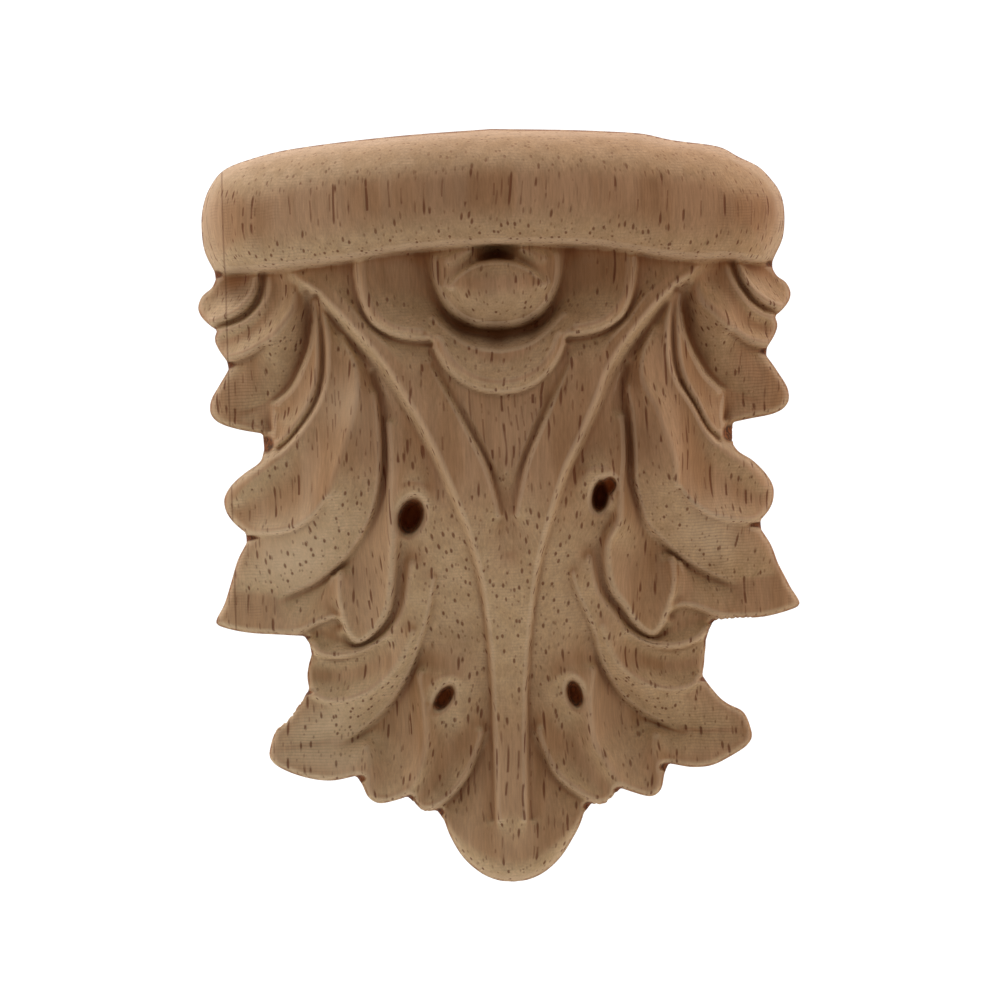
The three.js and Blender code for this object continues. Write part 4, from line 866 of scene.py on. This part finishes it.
# Paleness of sanded edges with a painted highlight on the crests
CREST_SANDED_AND_HIGHLIGHT = linear(220, 190, 154)
VESSEL_BROWN = linear(98, 42, 17)
GLUE_DARK = linear(104, 66, 42)

# Painted light from the left: paler to the left, and warmer and darker to the right, where less light falls.
# The colour is also paler at the foot, and warmer and darker at the top
PAINTED_LIGHT_LEFT = (1.04, 1.13, 1.12, 1.0)
PAINTED_SHADE_RIGHT = (0.82, 0.75, 0.64, 1.0)
PALE_FOOT = (1.09, 1.13, 1.14, 1.0)
WARM_TOP = (0.91, 0.87, 0.86, 1.0)

# The glue line: how far to the left of the middle, in millimetres
GLUE_PLACE = -27.05

# Step of the tool's passes up the piece, in millimetres
TOOL_PASS = 0.31

# The vessels: spacing, radius, length of a run, how rare they are, a place of their own, and their strength
VESSELS = (
    (2.3, 0.15, 4.5, 0.53, 5.6, 1.0),
    (0.98, 0.14, 2.4, 0.48, 3.1, 1.0),
    (0.64, 0.1, 1.6, 0.48, 8.7, 0.55),
)
VESSEL_SHARE = 0.7

# How the mark and painted-light values colour the wood: where the colour begins and is full, the most of it,
# and the colour
MARK_AND_LIGHT_TINTS = (
    ("patch", 0.0, 1.0, 0.42, PATCH_FIBRE_AND_LIGHT),
    ("patch", 0.0, -1.0, 0.72, PATCH_PAINTED_SHADE),
    ("crest", 0.02, 0.12, 0.24, CREST_SANDED_AND_HIGHLIGHT),
    ("recess", 0.6, 2.2, 0.42, RECESS_PAINTED_SHADE),
    ("cut", 0.06, 0.6, 0.55, CUT_PAINTED_SHADE),
    ("recess", 1.8, 4.0, 0.7, CUT_PAINTED_SHADE),
)

# Half width of the glue line, full and faded, and its strength
GLUE_CORE = 0.03
GLUE_END = 0.14
GLUE_SHARE = 0.5


def wood_material():
    material = bpy.data.materials.new("raw_wood")
    material.use_nodes = True
    n = Nodes(material.node_tree)
    place = n.add("ShaderNodeTexCoord").outputs["Object"]
    mm = n.add("ShaderNodeVectorMath", {0: place, "Scale": 1 / MM}, operation="SCALE").outputs[0]
    at = n.add("ShaderNodeSeparateXYZ", {"Vector": mm}).outputs
    normal = n.add("ShaderNodeNewGeometry").outputs["Normal"]
    facing = n.add("ShaderNodeSeparateXYZ", {"Vector": normal}).outputs
    endwise = n.ramp(n.math("ABSOLUTE", facing["Z"]), 0.05, 0.62)

    def stretched(across, along):
        return n.vector("MULTIPLY", mm, (across, across, along))

    def shaded(colour, shade):
        grey = n.add("ShaderNodeCombineColor", {0: shade, 1: shade, 2: shade}).outputs[0]
        return n.blend(1.0, colour, grey, "MULTIPLY")

    broad = n.noise(stretched(0.22, 0.035), 1.0, 3.0)
    streak = n.noise(stretched(1.3, 0.1), 1.0, 3.0, 0.6)
    fibre = n.noise(stretched(5.0, 0.45), 1.0, 3.0, 0.6)
    patch = n.noise(stretched(0.5, 0.5), 1.0, 3.0)
    tone = n.ramp(broad, 0.38, 0.62)
    long_grain = n.blend(tone, LONG_GRAIN_DARK, LONG_GRAIN)
    end_grain = n.blend(n.ramp(patch, 0.35, 0.65), END_GRAIN_DARK, END_GRAIN)
    colour = n.blend(endwise, long_grain, end_grain)
    colour = shaded(colour, n.ramp(streak, 0.3, 0.7, 0.93, 1.06))
    colour = shaded(colour, n.ramp(fibre, 0.25, 0.75, 0.88, 1.1))
    # Painted light from the left and painted shade to the right
    colour = n.blend(1.0, colour, n.blend(n.ramp(at["X"], -45.0, 45.0), PAINTED_LIGHT_LEFT, PAINTED_SHADE_RIGHT), "MULTIPLY")
    colour = n.blend(1.0, colour, n.blend(n.ramp(at["Z"], -50.0, 50.0), PALE_FOOT, WARM_TOP), "MULTIPLY")

    def marks_and_painted_light(name):
        return n.add("ShaderNodeAttribute", attribute_name=name).outputs["Fac"]

    for name, low, high, most, tint in MARK_AND_LIGHT_TINTS:
        colour = n.blend(n.ramp(marks_and_painted_light(name), low, high, 0.0, most), colour, tint)
    # In the notches the torn wood's own brown is speckled with painted shade
    torn = n.ramp(n.noise(stretched(2.6, 1.6), 1.0, 2.0), 0.4, 0.6)
    torn_wood_and_shade = n.blend(torn, NOTCH_PAINTED_SHADE, NOTCH_BROWN)
    colour = n.blend(n.ramp(marks_and_painted_light("pit"), 0.2, 0.8, 0.0, 0.8), colour, torn_wood_and_shade)
    # Painted shade in the drilled eyes
    colour = n.blend(n.ramp(marks_and_painted_light("pit"), 0.9, 2.0, 0.0, 0.85), colour, EYE_PAINTED_SHADE)
    ragged = n.ramp(n.noise(stretched(1.1, 1.1), 1.0, 2.0), 0.42, 0.6, 0.1, 0.7)
    colour = n.blend(n.math("MULTIPLY", n.ramp(marks_and_painted_light("margin"), 0.2, 0.9), ragged), colour, MARGIN_BROWN)

    def vessels(spacing, radius, run, keep, seed):
        """Tubes up the wood, spaced and broken up along their length: 1 inside one."""
        sway = n.noise(n.vector("MULTIPLY", mm, (0.1, 0.1, 0.15)), 1.0, 1.0)
        across = n.math("ADD", at["X"], n.math("MULTIPLY", sway, 1.2))
        flat = n.add("ShaderNodeCombineXYZ", {"X": across, "Y": at["Y"], "Z": 0.0}).outputs[0]
        moved = n.vector("ADD", flat, (seed, seed * 0.7, 0.0))
        inputs = {"Vector": moved, "Scale": 1 / spacing, "Randomness": 1.0}
        cell = n.add("ShaderNodeTexVoronoi", inputs, voronoi_dimensions="2D")
        own = n.add("ShaderNodeSeparateXYZ", {"Vector": cell.outputs["Position"]}).outputs
        rise = n.math("DIVIDE", at["Z"], run)
        key = n.add("ShaderNodeCombineXYZ", {"X": n.math("MULTIPLY", own["X"], 5.3),
                                             "Y": n.math("MULTIPLY", own["Y"], 5.3), "Z": rise}).outputs[0]
        present = n.ramp(n.noise(key, 1.0, 1.0), keep, keep + 0.05)
        tube = n.ramp(cell.outputs["Distance"], radius / spacing * 1.3, radius / spacing * 0.5)
        return n.math("MULTIPLY", tube, present)

    pore = 0.0
    for spacing, radius, run, keep, seed, strength in VESSELS:
        tubes = vessels(spacing, radius, run, keep, seed)
        pore = n.math("MAXIMUM", pore, n.math("MULTIPLY", tubes, strength))
    # Pores fade on faces turned up, as a painted highlight washing them out on the lit tops
    pore = n.math("MULTIPLY", pore, n.ramp(facing["Z"], 0.2, 0.75, 1.0, 0.45))
    colour = n.blend(n.math("MULTIPLY", pore, VESSEL_SHARE), colour, VESSEL_BROWN)

    off_line = n.math("ABSOLUTE", n.math("SUBTRACT", at["X"], GLUE_PLACE))
    colour = n.blend(n.ramp(off_line, GLUE_END, GLUE_CORE, 0.0, GLUE_SHARE), colour, GLUE_DARK)

    wobble = n.noise(stretched(0.3, 0.3), 1.0, 1.0)
    wavy = n.math("ADD", at["Z"], n.math("MULTIPLY", wobble, 0.6))
    passes = n.math("SINE", n.math("MULTIPLY", wavy, 2 * math.pi / TOOL_PASS))
    outer = n.ramp(n.math("ABSOLUTE", at["X"]), 19.0, 24.0)
    worked = n.math("MULTIPLY", n.ramp(patch, 0.47, 0.62, 0.0, 0.6), n.math("MAXIMUM", endwise, outer))
    worked = n.math("MAXIMUM", worked, marks_and_painted_light("tooled"))
    line = n.math("MULTIPLY", n.ramp(passes, 0.2, 1.0), worked)
    colour = shaded(colour, n.math("SUBTRACT", 1.0, n.math("MULTIPLY", line, 0.2)))
    height = n.math("MULTIPLY", pore, -0.1)
    height = n.math("ADD", height, n.math("MULTIPLY", fibre, 0.06))
    height = n.math("ADD", height, n.math("MULTIPLY", passes, n.ramp(worked, 0.0, 1.0, 0.002, 0.01)))
    bump = n.add("ShaderNodeBump", {"Height": height, "Strength": 0.6, "Distance": MM})
    inputs = {"Base Color": colour, "Roughness": 0.75, "Specular IOR Level": 0.08, "Normal": bump.outputs[0]}
    shader = n.add("ShaderNodeBsdfPrincipled", inputs)
    n.add("ShaderNodeOutputMaterial", {"Surface": shader.outputs[0]})
    return material


mesh.materials.append(wood_material())

# Camera: straight at the front, so far off that 10 pixels are 1 mm across the middle depths
PHOTO_SIDE = 1000
PHOTO_MIDDLE = (502.5, 506.5)
PIXELS_PER_MM = 10.0
PHOTO_TILT = math.radians(1.7)
CAMERA_DISTANCE = 2.0
SENSOR = 36.0
FOCUS_DEPTH = 0.010

camera_data = bpy.data.cameras.new("camera")
camera_data.sensor_width = SENSOR
view_width = PHOTO_SIDE / PIXELS_PER_MM * MM
camera_data.lens = SENSOR * CAMERA_DISTANCE / view_width
camera = bpy.data.objects.new("camera", camera_data)
bpy.context.collection.objects.link(camera)
right = (PHOTO_SIDE / 2 - PHOTO_MIDDLE[0]) / PIXELS_PER_MM * MM
down = (PHOTO_SIDE / 2 - PHOTO_MIDDLE[1]) / PIXELS_PER_MM * MM
aim_x = right * math.cos(PHOTO_TILT) - down * math.sin(PHOTO_TILT)
aim_z = -(down * math.cos(PHOTO_TILT) + right * math.sin(PHOTO_TILT))
camera.location = (aim_x, -CAMERA_DISTANCE - FOCUS_DEPTH, aim_z)
camera.rotation_euler = (math.radians(90), PHOTO_TILT, 0)
camera_data.clip_start = 0.05
camera_data.clip_end = 20
bpy.context.scene.camera = camera

# Light: a white tent, bright around and behind the piece and dim on the camera's side
TENT = ((-1.0, 0.3), (-0.5, 0.39), (0.0, 1.25), (0.35, 1.9), (1.0, 1.0))
TENT_MOST = 2.0
LIGHT_FROM_ABOVE = (1.01, 0.98, 1.12, 1.0)
SKY_LOW = 0.68
SKY_HIGH = 1.36
BACKDROP = 1.1
LIGHT_FROM_BELOW = (0.97, 1.0, 0.86, 1.0)

world = bpy.data.worlds.new("tent")
world.use_nodes = True
bpy.context.scene.world = world
w = Nodes(world.node_tree)
direction = w.add("ShaderNodeTexCoord").outputs["Generated"]
parts = w.add("ShaderNodeSeparateXYZ", {"Vector": direction})
share = w.math("MULTIPLY_ADD", parts.outputs["Y"], 0.5, 0.5)
ramp = w.add("ShaderNodeValToRGB", {"Fac": share})
ramp.color_ramp.interpolation = "B_SPLINE"
while len(ramp.color_ramp.elements) < len(TENT):
    ramp.color_ramp.elements.new(0.5)
for element, (toward_back, strength) in zip(ramp.color_ramp.elements, TENT):
    element.position = (toward_back + 1) / 2
    element.color = (strength / TENT_MOST,) * 3 + (1.0,)
sky = w.ramp(parts.outputs["Z"], -1.0, 1.0, SKY_LOW * TENT_MOST, SKY_HIGH * TENT_MOST)
strength = w.math("MULTIPLY", ramp.outputs["Color"], sky)
seen = w.add("ShaderNodeLightPath").outputs["Is Camera Ray"]
strength = w.math("MAXIMUM", strength, w.math("MULTIPLY", seen, BACKDROP))
tint = w.blend(w.ramp(parts.outputs["Z"], -0.7, 0.7), LIGHT_FROM_BELOW, LIGHT_FROM_ABOVE)
tint = w.blend(seen, tint, (1.0, 1.0, 1.0, 1.0))
background = w.add("ShaderNodeBackground", {"Color": tint, "Strength": strength})
w.add("ShaderNodeOutputWorld", {"Surface": background.outputs[0]})
bpy.context.scene.view_settings.view_transform = "Standard"

# Floor: pale, far below the piece
FLOOR_DROP = 2.2
FLOOR_HALF = 3.0
FLOOR_PALE = (0.62, 0.62, 0.62, 1.0)
floor_mesh = bpy.data.meshes.new("floor")
floor_mesh.from_pydata([(sx * FLOOR_HALF, sy * FLOOR_HALF, -FLOOR_DROP) for sx, sy in
                        ((-1, -1), (1, -1), (1, 1), (-1, 1))], [], [(0, 1, 2, 3)])
floor = bpy.data.objects.new("floor", floor_mesh)
bpy.context.collection.objects.link(floor)
pale = bpy.data.materials.new("pale_floor")
pale.use_nodes = True
pale.node_tree.nodes["Principled BSDF"].inputs["Base Color"].default_value = FLOOR_PALE
floor_mesh.materials.append(pale)
